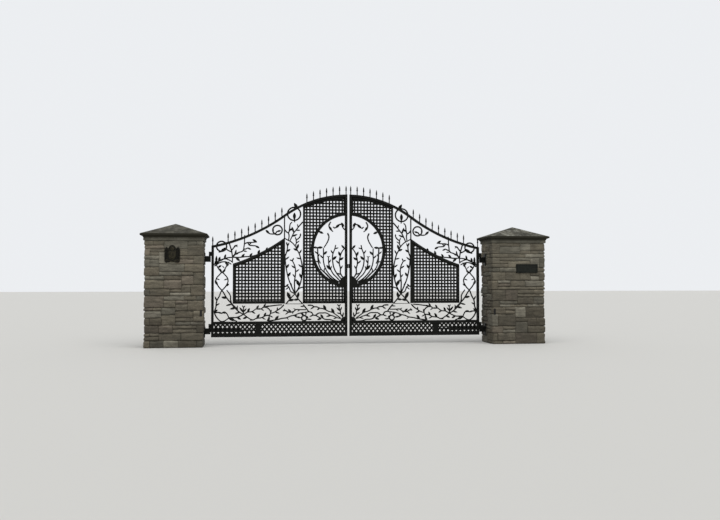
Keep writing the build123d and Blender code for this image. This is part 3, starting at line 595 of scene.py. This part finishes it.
RING_LEAVES = (
    (492, 1522, 563, 1526, 1), (491, 1522, 409, 1527, 1), (143, 1893, 209, 1835, 1),
    (214, 1837, 253, 1854, 1), (311, 1859, 264, 1790, 1), (311, 1870, 289, 1904), (328, 1761, 319, 1709, 1),
    (472, 1780, 399, 1746, 1), (107, 1919, 70, 1857, 1), (52, 1500, 112, 1566, 1),
    (127, 1391, 159, 1464, 1), (131, 1324, 77, 1369, 1), (148, 1267, 204, 1323), (127, 1182, 91, 1244),
    (253, 1428, 284, 1489), (243, 1331, 189, 1389, 1), (217, 1505, 155, 1524), (117, 1098, 189, 1121),
    (318, 1377, 346, 1391, 1), (317, 1377, 291, 1391, 1), (312, 1276, 278, 1339), (280, 1174, 352, 1246, 1),
    (280, 1183, 267, 1237), (395, 1412, 340, 1466, 1), (403, 1353, 455, 1407), (488, 1422, 540, 1468),
    (484, 1376, 459, 1430), (476, 1289, 527, 1317), (380, 1164, 366, 1214), (426, 1176, 464, 1179),
)
BAND_STEMS = (
    ((1829, 634), (1768, 567), (1706, 510), (1645, 476), (1588, 433), (1532, 398), (1489, 387)),
    ((2093, 515), (2076, 465), (2034, 403), (1987, 369), (1945, 372), (1908, 393), (1870, 421)),
    ((2086, 503), (2034, 509), (1976, 496), (1944, 514), (1913, 500), (1888, 465), (1870, 421)),
    ((1870, 425), (1814, 427), (1753, 429), (1701, 448), (1645, 476), (1579, 511), (1518, 518),
     (1453, 561)),
    ((1453, 561), (1378, 561), (1338, 588), (1304, 637)),
    ((1870, 416), (1833, 397), (1791, 385), (1743, 368)),
    ((1645, 479), (1647, 533), (1644, 583)),
    ((1338, 588), (1284, 578), (1244, 547), (1227, 508), (1243, 453), (1278, 371)),
    ((1018, 624), (1070, 571), (1120, 537), (1170, 506), (1229, 488)),
    ((1309, 595), (1224, 605), (1125, 617), (1050, 622)),
    ((1243, 460), (1308, 453), (1362, 424), (1446, 412), (1495, 390), (1545, 384)),
    ((1268, 370), (1169, 383), (1100, 397), (1050, 409), (980, 419), (911, 446), (851, 460), (785, 485),
     (715, 499), (630, 509)),
    ((1030, 537), (991, 531), (941, 506), (866, 519), (831, 545), (770, 545), (670, 544)),
    ((718, 625), (660, 554), (630, 516), (584, 499), (554, 458), (524, 457), (473, 488), (413, 491),
     (352, 490), (291, 457), (226, 436), (180, 415), (119, 400)),
    ((645, 614), (579, 611), (544, 590), (504, 588), (453, 566), (418, 562), (367, 543), (317, 517),
     (251, 497), (190, 456), (124, 410)),
    ((524, 457), (463, 422), (428, 406)),
    ((862, 458), (818, 430), (750, 419)),
    ((428, 442), (403, 407), (362, 389), (291, 385), (215, 365), (119, 360)),
    ((88, 425), (124, 476), (129, 516), (143, 551), (149, 599)),
)
BAND_LEAVES = (
    (2064, 619, 2013, 650), (2084, 516, 2040, 551, 1), (2034, 509, 1976, 496, 1), (1913, 496, 1976, 512, 1),
    (1829, 634, 1913, 615), (1772, 571, 1855, 558), (1744, 553, 1736, 617), (1699, 512, 1779, 490),
    (1649, 507, 1708, 587), (1643, 512, 1599, 572), (1644, 581, 1665, 617, 1), (1644, 581, 1618, 612, 1),
    (1585, 508, 1550, 575, 1), (1520, 516, 1463, 488), (1746, 428, 1682, 397, 1), (1591, 434, 1655, 406, 1),
    (1866, 411, 1774, 381, 1), (1508, 521, 1461, 484), (1447, 555, 1410, 616, 1), (1375, 558, 1326, 529),
    (1427, 552, 1375, 562, 1), (1336, 585, 1303, 640, 1), (1229, 495, 1213, 548, 1),
    (1125, 536, 1119, 584, 1), (1157, 508, 1085, 488), (1233, 452, 1187, 425), (1330, 441, 1297, 504, 1),
    (1441, 411, 1397, 481, 1), (1361, 423, 1301, 393), (1271, 373, 1238, 433, 1), (1157, 387, 1102, 453, 1),
    (978, 416, 941, 388), (995, 535, 1039, 527, 1), (995, 535, 1016, 566), (945, 505, 999, 470),
    (905, 515, 958, 553, 1), (863, 519, 893, 478), (831, 545, 873, 566), (852, 458, 806, 448),
    (1309, 595, 1229, 606), (705, 590, 763, 596), (544, 589, 605, 550), (579, 611, 647, 615),
    (456, 564, 501, 539, 1), (356, 542, 399, 619, 1), (230, 479, 272, 566, 1), (473, 487, 516, 461, 1),
    (554, 457, 620, 435), (402, 401, 444, 472, 1), (427, 406, 497, 384, 1), (276, 452, 356, 433),
    (180, 418, 243, 398), (124, 475, 187, 494), (133, 518, 191, 579), (127, 523, 105, 587),
    (149, 597, 181, 629, 1), (149, 597, 123, 629, 1), (84, 435, 78, 503), (752, 487, 699, 448, 1),
    (815, 431, 754, 419, 1), (662, 446, 636, 404, 1), (656, 393, 580, 391), (668, 505, 678, 458, 1),
    (765, 551, 809, 516),
)
SIDE_STEMS = (
    ((1730, 551), (1818, 632), (1905, 733), (1962, 828), (2040, 925), (2070, 1010), (2010, 1100),
     (1940, 1170), (1900, 1250)),
    ((2096, 516), (2070, 580), (2057, 680), (2014, 767), (1991, 828), (1915, 920), (1885, 1010),
     (1940, 1100), (2020, 1170), (2062, 1240)),
    ((1828, 638), (1845, 706), (1846, 760), (1905, 855)),
)
SIDE_LEAVES = (
    (1905, 730, 1986, 745, 1), (1858, 629, 1914, 611), (1785, 571, 1856, 557), (2055, 686, 2085, 758),
    (2063, 612, 2012, 648), (2046, 935, 2086, 1005, 1), (2066, 1032, 2008, 1012),
    (1985, 1126, 2016, 1192, 1), (1916, 1215, 1868, 1262), (1918, 915, 1866, 952, 1),
    (1888, 1030, 1950, 1008), (1965, 1126, 1925, 1180, 1), (2042, 1203, 1985, 1240, 1),
    (2062, 1238, 2088, 1303, 1), (2062, 1238, 2028, 1298), (1902, 1246, 1932, 1306, 1),
    (1902, 1246, 1868, 1300),
)
TOP_STEMS = (
    ((1820, 1444), (1889, 1473), (1934, 1506), (1965, 1482), (1994, 1451), (2029, 1443)),
    ((1866, 1576), (1835, 1471), (1819, 1371), (1819, 1278)),
    ((1819, 1367), (1778, 1406), (1720, 1439), (1659, 1466), (1642, 1527), (1630, 1712)),
    ((1819, 1367), (1735, 1362), (1620, 1374), (1536, 1381), (1428, 1407), (1366, 1431)),
    ((1642, 1573), (1583, 1595), (1529, 1597), (1440, 1606)),
    ((1583, 1595), (1559, 1557), (1521, 1549), (1459, 1543), (1417, 1528)),
    ((1644, 1488), (1613, 1496), (1575, 1510), (1544, 1492)),
    ((1819, 1371), (1785, 1410), (1772, 1456)),
    ((1835, 1471), (1805, 1506), (1778, 1538), (1740, 1556)),
    ((2112, 1246), (2025, 1300), (1945, 1347), (1930, 1394)),
    ((1945, 1343), (1873, 1359), (1819, 1363)),
    ((2052, 1289), (2002, 1320), (1934, 1339), (1857, 1316), (1818, 1290)),
    ((2093, 1227), (2025, 1273), (1964, 1293), (1888, 1284), (1834, 1255)),
    ((1128, 1775), (1156, 1742), (1214, 1732), (1256, 1742), (1289, 1772)),
)
TOP_LEAVES = (
    (1934, 1506, 1999, 1446, 1), (1989, 1449, 2037, 1445, 1), (1659, 1466, 1591, 1455),
    (1680, 1367, 1630, 1420, 1), (1555, 1380, 1511, 1432, 1), (1426, 1411, 1400, 1485, 1),
    (1766, 1362, 1703, 1305, 1), (1446, 1604, 1511, 1646, 1), (1525, 1597, 1571, 1552),
    (1780, 1410, 1761, 1486), (1773, 1545, 1733, 1524), (1301, 1459, 1279, 1525, 1),
    (1463, 1543, 1401, 1509, 1), (1941, 1343, 1921, 1411, 1), (2030, 1298, 2008, 1374, 1),
    (2077, 1289, 2062, 1387), (1903, 1351, 1886, 1316), (1582, 1508, 1530, 1487, 1),
    (1797, 1512, 1765, 1559, 1), (1975, 1230, 1938, 1194), (1720, 1439, 1778, 1406, 1),
    (1132, 1773, 1066, 1788, 1), (1189, 1770, 1178, 1806), (1250, 1740, 1308, 1796, 1),
)
MIDDLE = (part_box("left_meeting_stile")[1].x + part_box("right_meeting_stile")[0].x) / 2
GATE_PLANE = (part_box("left_top_rail")[0].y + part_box("left_top_rail")[1].y) / 2


def across(node):
    """Where a node of the left leaf starts and ends, outwards from the gate's middle."""
    low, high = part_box(node)
    return MIDDLE - high.x, MIDDLE - low.x


def at(side, out, up, proud=0.0):
    """A place in the gate's plane. Side is 1 in the left leaf and -1 in the right one."""
    return Vector((MIDDLE - side * out, GATE_PLANE - proud, up))


def forged_leaf():
    """One leaf along +X from its root, hollow along the midrib and with its tip turned up."""
    bm = bmesh.new()
    bmesh.ops.create_grid(bm, x_segments=6, y_segments=2, size=0.5)
    for v in bm.verts:
        along, side = v.co.x + 0.5, 2 * v.co.y
        half = LEAF_WIDTH / 2 * (LEAF_ROOT + LEAF_BELLY * sin(pi * along**1.1)) * (1 - along**5)
        v.co = Vector((along * LEAF_LENGTH, side * half, LEAF_HOLLOW * abs(side) + LEAF_CURL * along**2))
    bmesh.ops.remove_doubles(bm, verts=bm.verts, dist=0.0002)
    bmesh.ops.solidify(bm, geom=bm.faces[:], thickness=LEAF_THICK)
    bmesh.ops.recalc_face_normals(bm, faces=bm.faces)
    for face in bm.faces:
        face.smooth = True
    mesh = bpy.data.meshes.new("forged leaf")
    bm.to_mesh(mesh)
    bm.free()
    return mesh


LEAF = forged_leaf()


def add_leaf(bm, root, tip, wide):
    """Welds a leaf on, from its root on the stem to its tip."""
    size, ahead, outward = (tip - root).length / LEAF_LENGTH, (tip - root).normalized(), Vector((0, -1, 0))
    axes = Matrix((ahead, outward.cross(ahead), outward)).transposed().to_4x4()
    leaf = LEAF.copy()
    leaf.transform(Matrix.Translation(root) @ axes @ Matrix.Diagonal((size, size * wide, size, 1)))
    bm.from_mesh(leaf)
    bpy.data.meshes.remove(leaf)


def add_stem(bm, points, radius=STEM_RADIUS):
    """Draws a round tapered stem through its points, and gives back its middle line."""
    curve = bpy.data.curves.new("stem", "CURVE")
    curve.dimensions = "3D"
    curve.resolution_u = 6
    spline = curve.splines.new("BEZIER")
    spline.bezier_points.add(len(points) - 1)
    for k, (knot, point) in enumerate(zip(spline.bezier_points, points)):
        knot.co = point
        knot.handle_left_type = knot.handle_right_type = "AUTO"
        knot.radius = 1 - (1 - STEM_TIP) * k / (len(points) - 1)
    holder = bpy.data.objects.new("stem", curve)
    line = bpy.data.meshes.new_from_object(holder)
    path = [v.co.copy() for v in line.vertices]
    curve.bevel_depth = radius
    curve.bevel_resolution = 1
    curve.use_fill_caps = True
    tube = bpy.data.meshes.new_from_object(holder)
    bm.from_mesh(tube)
    bpy.data.objects.remove(holder)
    bpy.data.curves.remove(curve)
    for made in (line, tube):
        bpy.data.meshes.remove(made)
    return path


def add_circle(bm, centre, radius):
    """A round bar bent to a circle, whose outside has the radius given."""
    ring = bmesh.new()
    made = bmesh.ops.create_circle(ring, segments=8, radius=STEM_RADIUS)
    bmesh.ops.translate(ring, vec=(radius - STEM_RADIUS, 0, 0), verts=made["verts"])
    bmesh.ops.spin(ring, geom=ring.verts[:] + ring.edges[:], cent=(0, 0, 0), axis=(0, 1, 0),
                   angle=2 * pi, steps=40, use_merge=True)
    bmesh.ops.recalc_face_normals(ring, faces=ring.faces)
    add_part(bm, ring, centre)


def iron_piece(bm, name, node, body):
    """A piece in the leaf's iron, in place of a node or, without one, beside them."""
    for face in bm.faces:
        face.smooth = True
    piece = made_piece(bm, name)
    piece.data.materials.append(BLACK)
    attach(piece, body)
    if node:
        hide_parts(node)


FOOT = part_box("left_upright")[0].z
RAIL_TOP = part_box("left_band_rail")[1].z
STILE_EDGE = across("left_meeting_stile")[1]
CORNER_PLATE = 0.066  # radius
PLATE_THICK = 0.010
PANEL_CIRCLE = (0.863, 2.052, 0.115)  # out, up and radius of each forged circle
RAIL_CIRCLE = (1.986, 1.534, 0.090)
UPRIGHT_CIRCLE = (1.122, 1.795, 0.086)
SMALL_CIRCLE = (0.701, 0.412, 0.052)


def add_vine(bm, side, stems, leaves):
    """Draws a part's stems, a little before each other where they cross, and the leaves on them."""
    lines = []
    for k, stem in enumerate(stems):
        path = add_stem(bm, [at(side, out / 1000, up / 1000, CROSSING * (-1) ** k) for out, up in stem])
        lines += zip(path, path[1:])
    for out, up, tip_out, tip_up, *broad in leaves:
        root = at(side, out / 1000, up / 1000)
        spots = [a.lerp(b, min(1, max(0, intersect_point_line(root, a, b)[1]))) for a, b in lines]
        near = min(spots, key=lambda spot: (spot - root).length)
        if (near - root).length < LEAF_REACH:
            root = near
        add_leaf(bm, root, at(side, tip_out / 1000, tip_up / 1000), BROAD if broad else NARROW)


def corner_plate(bm, side):
    """Quarter plate in the corner by the meeting stile, that the low stems fan out from."""
    plate = bmesh.new()
    bmesh.ops.create_cone(plate, segments=48, radius1=CORNER_PLATE, radius2=CORNER_PLATE,
                          depth=PLATE_THICK, cap_ends=True)
    bmesh.ops.rotate(plate, matrix=Matrix.Rotation(pi / 2, 3, "X"), verts=plate.verts)
    for way in (Vector((side, 0, 0)), Vector((0, 0, -1))):
        cut = bmesh.ops.bisect_plane(plate, geom=plate.verts[:] + plate.edges[:] + plate.faces[:],
                                     plane_co=(0, 0, 0), plane_no=way, clear_outer=True)
        bmesh.ops.holes_fill(plate, edges=[e for e in cut["geom_cut"] if isinstance(e, bmesh.types.BMEdge)])
    add_part(bm, plate, at(side, STILE_EDGE, RAIL_TOP))


for hand, side in (("left", 1), ("right", -1)):
    body = f"{hand}_leaf"
    bm = bmesh.new()
    add_vine(bm, side, PANEL_STEMS, PANEL_LEAVES)
    add_stem(bm, [at(side, out, FOOT - SILL_DROP) for out in across("left_vine_panel")], SILL_RADIUS)
    add_circle(bm, at(side, *PANEL_CIRCLE[:2]), PANEL_CIRCLE[2])
    iron_piece(bm, f"{hand}_panel_vine", f"{hand}_vine_panel", body)
    bm = bmesh.new()
    add_vine(bm, side, RING_STEMS, RING_LEAVES)
    iron_piece(bm, f"{hand}_ring_vine", f"{hand}_ring_vines", body)
    bm = bmesh.new()
    add_vine(bm, side, BAND_STEMS, BAND_LEAVES)
    add_circle(bm, at(side, *SMALL_CIRCLE[:2]), SMALL_CIRCLE[2])
    corner_plate(bm, side)
    iron_piece(bm, f"{hand}_band_vine", f"{hand}_band_vines", body)
    bm = bmesh.new()
    add_vine(bm, side, SIDE_STEMS, SIDE_LEAVES)
    add_vine(bm, side, TOP_STEMS, TOP_LEAVES)
    for out, up, radius in (RAIL_CIRCLE, UPRIGHT_CIRCLE):
        add_circle(bm, at(side, out, up), radius)
    iron_piece(bm, f"{hand}_corner_vine", f"{hand}_corner_vines", body)
bpy.data.meshes.remove(LEAF)


# Lattice borders
# A flat bar runs along each lattice's foot, up both sides of the inner one and along the top of
# both, over the open ends of the outermost rows and columns.
HALF_PITCH = 0.0254  # the outermost rows' open ends
BORDER_FOOT = 0.018  # how much more of the lattice a bar covers at its foot and head
BORDER_TOP = 0.016
BORDER_SIDES = 0.034, 0.021  # width at the inner lattice's outer side and by the meeting stile
BORDER_SLOPE = 0.061  # width along the outer lattice's top
BAR_PROUD = 0.001  # how far a bar stands out of the lattice's faces
STRIP_PROUD = 0.0012
BAR_EDGE = 0.001  # its broken edges
BITE = 0.004  # how far a bar runs into the rail or stile beside it
END_IN = 0.002  # how far it stops short of the lattice's end
SLOPE_IN, SLOPE_DROP = 0.003, 0.001  # how far the strip on the slope lies within the lattice
RING_BITE = 0.020
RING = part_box("left_half_ring")
UNDER, OVER = 0.7, 3.0  # heights in the open, below the lattices' heads and above the gate
STRIP_STEPS = 20


def height_at(node, x, way):
    """Where a line in the gate's plane first meets a node, seen from below or from above."""
    start = Vector((x, GATE_PLANE, UNDER if way > 0 else OVER))
    return frame["nodes"][node].ray_cast(start, Vector((0, 0, way)))[1].z


def border_bar(bm, low, high):
    made = bmesh.ops.create_cube(bm, size=1.0)["verts"]
    bmesh.ops.scale(bm, vec=high - low, verts=made)
    bmesh.ops.translate(bm, vec=(low + high) / 2, verts=made)
    edges = list({e for v in made for e in v.link_edges})
    bmesh.ops.bevel(bm, geom=edges, offset=BAR_EDGE, segments=1, profile=0.5, affect="EDGES", material=-1)


def border_strip(bm, lattice, inset, over, way, lift, wide):
    """A flat bar bent to the foot (way 1) or the head (way -1) of the node over it."""
    low, high = lattice
    start, length = low.x + inset, high.x - low.x - 2 * inset
    front, back = low.y - STRIP_PROUD, high.y + STRIP_PROUD
    section = (front, 0), (back, 0), (back, wide), (front, wide)
    rings = []
    for k in range(STRIP_STEPS + 1):
        x = start + length * k / STRIP_STEPS
        top = height_at(over, x, way) + lift
        rings.append([bm.verts.new((x, y, top - drop)) for y, drop in section])
    for near, far in zip(rings, rings[1:]):
        for k in range(4):
            bm.faces.new((near[k], far[k], far[(k + 1) % 4], near[(k + 1) % 4]))
    bm.faces.new(rings[0])
    bm.faces.new(rings[-1][::-1])


for hand, side in (("left", 1), ("right", -1)):
    inner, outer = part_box(f"{hand}_inner_lattice"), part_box(f"{hand}_outer_lattice")
    bm = bmesh.new()
    for low, high in (inner, outer):
        border_bar(bm, low + Vector((BITE, -BAR_PROUD, END_IN)),
                   Vector((high.x - BITE, high.y + BAR_PROUD, low.z + HALF_PITCH + BORDER_FOOT)))
    low, high = inner
    for start, end, way in ((low.x, high.x, side), (high.x, low.x, -side)):
        wide = BORDER_SIDES[0] if way > 0 else BORDER_SIDES[1]
        inwards = 1 if end > start else -1
        a, b = sorted((start + inwards * BAR_PROUD, start + inwards * wide))
        foot, top = low.z + END_IN, height_at(f"{hand}_top_rail", (a + b) / 2, 1) + BITE
        spans = [(foot, top)]
        if way < 0:  # the bar by the meeting stile is broken by the ring
            spans = [(foot, RING[0].z + RING_BITE), (RING[1].z - RING_BITE, top)]
        for foot, head in spans:
            border_bar(bm, Vector((a, low.y - BAR_PROUD, foot)), Vector((b, high.y + BAR_PROUD, head)))
    border_strip(bm, inner, END_IN, f"{hand}_top_rail", 1, BITE, HALF_PITCH + BORDER_TOP + BITE)
    border_strip(bm, outer, SLOPE_IN, f"{hand}_outer_lattice", -1, -SLOPE_DROP, BORDER_SLOPE)
    bmesh.ops.recalc_face_normals(bm, faces=bm.faces)
    iron_piece(bm, f"{hand}_lattice_borders", None, f"{hand}_leaf")


# Spears
# Forged spears stand upright along the top rail's sweep, each welded on at its foot. A spear is
# a round shank with a collar half way up, and a long point above it.
SPEAR_PROFILE = (  # radius and height above the rail
    (0.0085, -0.006), (0.0081, 0.052), (0.0095, 0.060), (0.0135, 0.066), (0.0140, 0.073),
    (0.0102, 0.080), (0.0116, 0.090), (0.0090, 0.112), (0.0, 0.143),
)
SPEAR_GAP = 0.040  # points further apart than this belong to different spears
SPEAR_ROOT = 0.004  # how far a shank runs into the rail
WELD = 0.00005  # points nearer than this are merged


def spear_feet(node):
    """Foot and lowest height of each spear, from the separate solids of its node."""
    verts = sorted((v.co.copy() for v in frame["nodes"][node].data.vertices), key=lambda p: p.x)
    groups = [[verts[0]]]
    for before, point in zip(verts, verts[1:]):
        if point.x - before.x > SPEAR_GAP:
            groups.append([])
        groups[-1].append(point)
    for group in groups:
        low, high = min(p.z for p in group), max(p.z for p in group)
        yield Vector(((group[0].x + group[-1].x) / 2, GATE_PLANE, high - SPEAR_PROFILE[-1][1])), low


def turned(profile, axis, steps):
    """A form turned round an axis, from the radius and the place along it of each point."""
    form = bmesh.new()
    points = [form.verts.new(Vector((radius, 0, 0)) + Vector(axis) * place) for radius, place in profile]
    edges = [form.edges.new(pair) for pair in zip(points, points[1:])]
    bmesh.ops.spin(form, geom=points + edges, cent=(0, 0, 0), axis=axis, angle=2 * pi, steps=steps,
                   use_merge=True)
    bmesh.ops.remove_doubles(form, verts=form.verts, dist=WELD)
    bmesh.ops.recalc_face_normals(form, faces=form.faces)
    return form


for hand in ("left", "right"):
    bm = bmesh.new()
    for foot, low in spear_feet(f"{hand}_spears"):
        root = (SPEAR_PROFILE[0][0], low - foot.z - SPEAR_ROOT)
        add_part(bm, turned((root, *SPEAR_PROFILE[1:]), (0, 0, 1), 10), foot)
    iron_piece(bm, f"{hand}_spear_row", f"{hand}_spears", f"{hand}_leaf")


# Plaques
# The left pillar bears a cast crest and the right one a number plaque, dark bronze gone dull.
# The crest is the usual kind, a shield under a round boss between scrolls, over a ribbon. Both
# are left without a device, letters or figures.
SHIELDS = (  # height of its head, width, height, place behind the face, relief and edge
    (0.182, 0.106, 0.138, 0.002, 0.007, 0.002),
    (0.174, 0.086, 0.118, -0.004, 0.005, 0.003),
)
BOSS_HEIGHT = 0.219
BOSS_PROFILE = (  # radius and place behind the plaque's face
    (0.034, 0.002), (0.034, -0.006), (0.030, -0.011), (0.026, -0.006), (0.020, -0.010), (0.010, -0.015),
    (0.0, -0.016),
)
STRAIGHT = 0.45  # share of a shield's height along which its sides are upright
BEAD = 0.0062  # radius of the scrolls' and the ribbon's beads
SUNK = 0.001  # how far beads and rims are sunk into the plaque
RIM_EDGE = 0.001
RIBBON_BEADS = 0.0, 0.009  # how far each of its two beads lies below its upper edge
SCROLLS = (  # out from the crest's middle and up from its foot
    ((0.058, 0.190), (0.074, 0.212), (0.090, 0.206), (0.092, 0.186), (0.078, 0.180), (0.074, 0.192)),
    ((0.060, 0.176), (0.080, 0.160), (0.098, 0.140), (0.094, 0.118), (0.078, 0.120), (0.078, 0.134)),
    ((0.058, 0.112), (0.076, 0.098), (0.096, 0.088), (0.096, 0.070), (0.080, 0.068), (0.074, 0.080)),
)
RIBBON = (0.104, 0.034), (0.084, 0.050), (0.056, 0.038), (0.028, 0.026), (0.0, 0.023)
RIMS = (0.002, 0.009, 0.005), (0.017, 0.004, 0.003)  # inset, width and height of the number plaque's rims


def dull_bronze(name, hollow, wear_and_painted_light):
    made, shader, place = finish(name)
    cast = place.noise(45.0, 4.0, 0.6)
    colour = cast.between(0.40, 0.65).blend(hollow, wear_and_painted_light)
    plug(shader, bump=cast, height=0.0015, Base_Color=colour, Roughness=cast * 0.2 + 0.45,
         Specular_IOR_Level=0.10)
    return made


def raised_plate(bm, outline, front, height, edge):
    """A plate of the outline given, raised to the front from a face, with a bevelled edge."""
    plate = bmesh.new()
    face = plate.faces.new([plate.verts.new((x, front, z)) for x, z in outline])
    made = bmesh.ops.extrude_face_region(plate, geom=[face])["geom"]
    moved = [v for v in made if isinstance(v, bmesh.types.BMVert)]
    bmesh.ops.translate(plate, vec=(0, -height, 0), verts=moved)
    rim = [e for e in plate.edges if all(v in moved for v in e.verts)]
    bmesh.ops.bevel(plate, geom=rim, offset=edge, segments=2, profile=0.6, affect="EDGES", material=-1)
    bmesh.ops.recalc_face_normals(plate, faces=plate.faces)
    add_part(bm, plate)


def shield(middle, top, wide, tall):
    """Outline of a shield: a level head, upright sides and a rounded point."""
    points = [(middle + wide / 2, top), (middle + wide / 2, top - STRAIGHT * tall)]
    for k in range(1, 8):
        turn = pi / 2 * k / 8
        points.append((middle + wide / 2 * cos(turn), top - tall * (STRAIGHT + (1 - STRAIGHT) * sin(turn))))
    points.append((middle, top - tall))
    return points + [(2 * middle - x, z) for x, z in points[-2::-1]]


def crest_relief():
    low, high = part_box("crest_plaque")
    middle, foot, front = (low.x + high.x) / 2, low.z, low.y
    bm = bmesh.new()

    def add_bead(line):
        add_stem(bm, [Vector((middle + x, front - SUNK, foot + z)) for x, z in line], BEAD)

    for top, wide, tall, sunk, height, edge in SHIELDS:
        raised_plate(bm, shield(middle, foot + top, wide, tall), front + sunk, height, edge)
    add_part(bm, turned(BOSS_PROFILE, (0, 1, 0), 24), (middle, front, foot + BOSS_HEIGHT))
    raised = len(bm.faces)
    for way in (1, -1):
        for scroll in SCROLLS:
            add_bead([(way * x, z) for x, z in scroll])
    for face in bm.faces[raised:]:
        face.material_index = 1
    for drop in RIBBON_BEADS:
        add_bead([(x, z - drop) for x, z in RIBBON] + [(-x, z - drop) for x, z in RIBBON[-2::-1]])
    for face in bm.faces:
        face.smooth = True
    piece = made_piece(bm, "crest_relief")
    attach(piece, "root")
    return piece


def number_frame():
    """The number plaque's raised rim, with a second thin line inside it."""
    low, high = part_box("number_plaque")
    bm = bmesh.new()

    def corners(inset):
        return [(low.x + inset, low.z + inset), (high.x - inset, low.z + inset),
                (high.x - inset, high.z - inset), (low.x + inset, high.z - inset)]

    for inset, width, height in RIMS:
        outer, inner = corners(inset), corners(inset + width)
        for k in range(4):
            n = (k + 1) % 4
            raised_plate(bm, [outer[k], outer[n], inner[n], inner[k]], low.y + SUNK, height, RIM_EDGE)
    piece = made_piece(bm, "number_frame")
    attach(piece, "root")
    return piece


RELIEF = dull_bronze("bronze relief", (0.014, 0.0125, 0.007), (0.040, 0.035, 0.021))
GROUND = dull_bronze("bronze ground", (0.0050, 0.0046, 0.0030), (0.012, 0.011, 0.007))
PANEL = dull_bronze("dark panel", (0.0100, 0.0110, 0.0090), (0.015, 0.017, 0.0135))
crest = crest_relief().data.materials
crest.append(RELIEF)
crest.append(GROUND)
number_frame().data.materials.append(PANEL)
for name, look in (("crest_plaque", GROUND), ("number_plaque", PANEL)):
    coat(frame["nodes"][name], look)


# Floor, light and view
# A plain pale floor lies under soft, even light from all round. The camera stands where the
# photograph was taken from, 12 m out and a little left of the middle.
CAMERA_AT = Vector((1.074, -12.283, 1.004))
CAMERA_TURN = (radians(91.49), 0.0, radians(-8.21))
CAMERA_LENS = 39.3
bm = bmesh.new()
bmesh.ops.create_grid(bm, x_segments=1, y_segments=1, size=60.0)
floor = made_piece(bm, "floor")
pale, shader, _ = finish("pale floor")
plug(shader, Base_Color=(0.62, 0.61, 0.58), Roughness=0.85)
floor.data.materials.append(pale)

world = bpy.data.worlds.new("sky")
bpy.context.scene.world = world
world.use_nodes = True
tree = world.node_tree
sky = tree.nodes["Background"]
rays = [Pattern(tree).node("ShaderNodeLightPath", out=which)
        for which in ("Is Camera Ray", "Is Glossy Ray", "Is Transmission Ray")]
seen = rays[0].combine("MAXIMUM", rays[1]).combine("MAXIMUM", rays[2])
light = seen.blend((0.80, 0.82, 0.84), (1.40, 1.43, 1.47))
tree.links.new(light.socket, sky.inputs["Color"])
sky.inputs["Strength"].default_value = 0.60

lamp = bpy.data.lights.new("overcast sky", "SUN")
lamp.angle = radians(80)
lamp.energy = 2.0
lamp_object = bpy.data.objects.new("overcast sky", lamp)
lamp_object.rotation_euler = (radians(32), 0.0, 0.0)
bpy.context.scene.collection.objects.link(lamp_object)

camera = bpy.data.cameras.new("camera")
camera.lens = CAMERA_LENS
camera.sensor_width = 36.0
camera.clip_end = 200.0
camera_object = bpy.data.objects.new("camera", camera)
camera_object.location = CAMERA_AT
camera_object.rotation_euler = CAMERA_TURN
bpy.context.scene.collection.objects.link(camera_object)
bpy.context.scene.camera = camera_object
bpy.context.scene.view_settings.view_transform = "Standard"
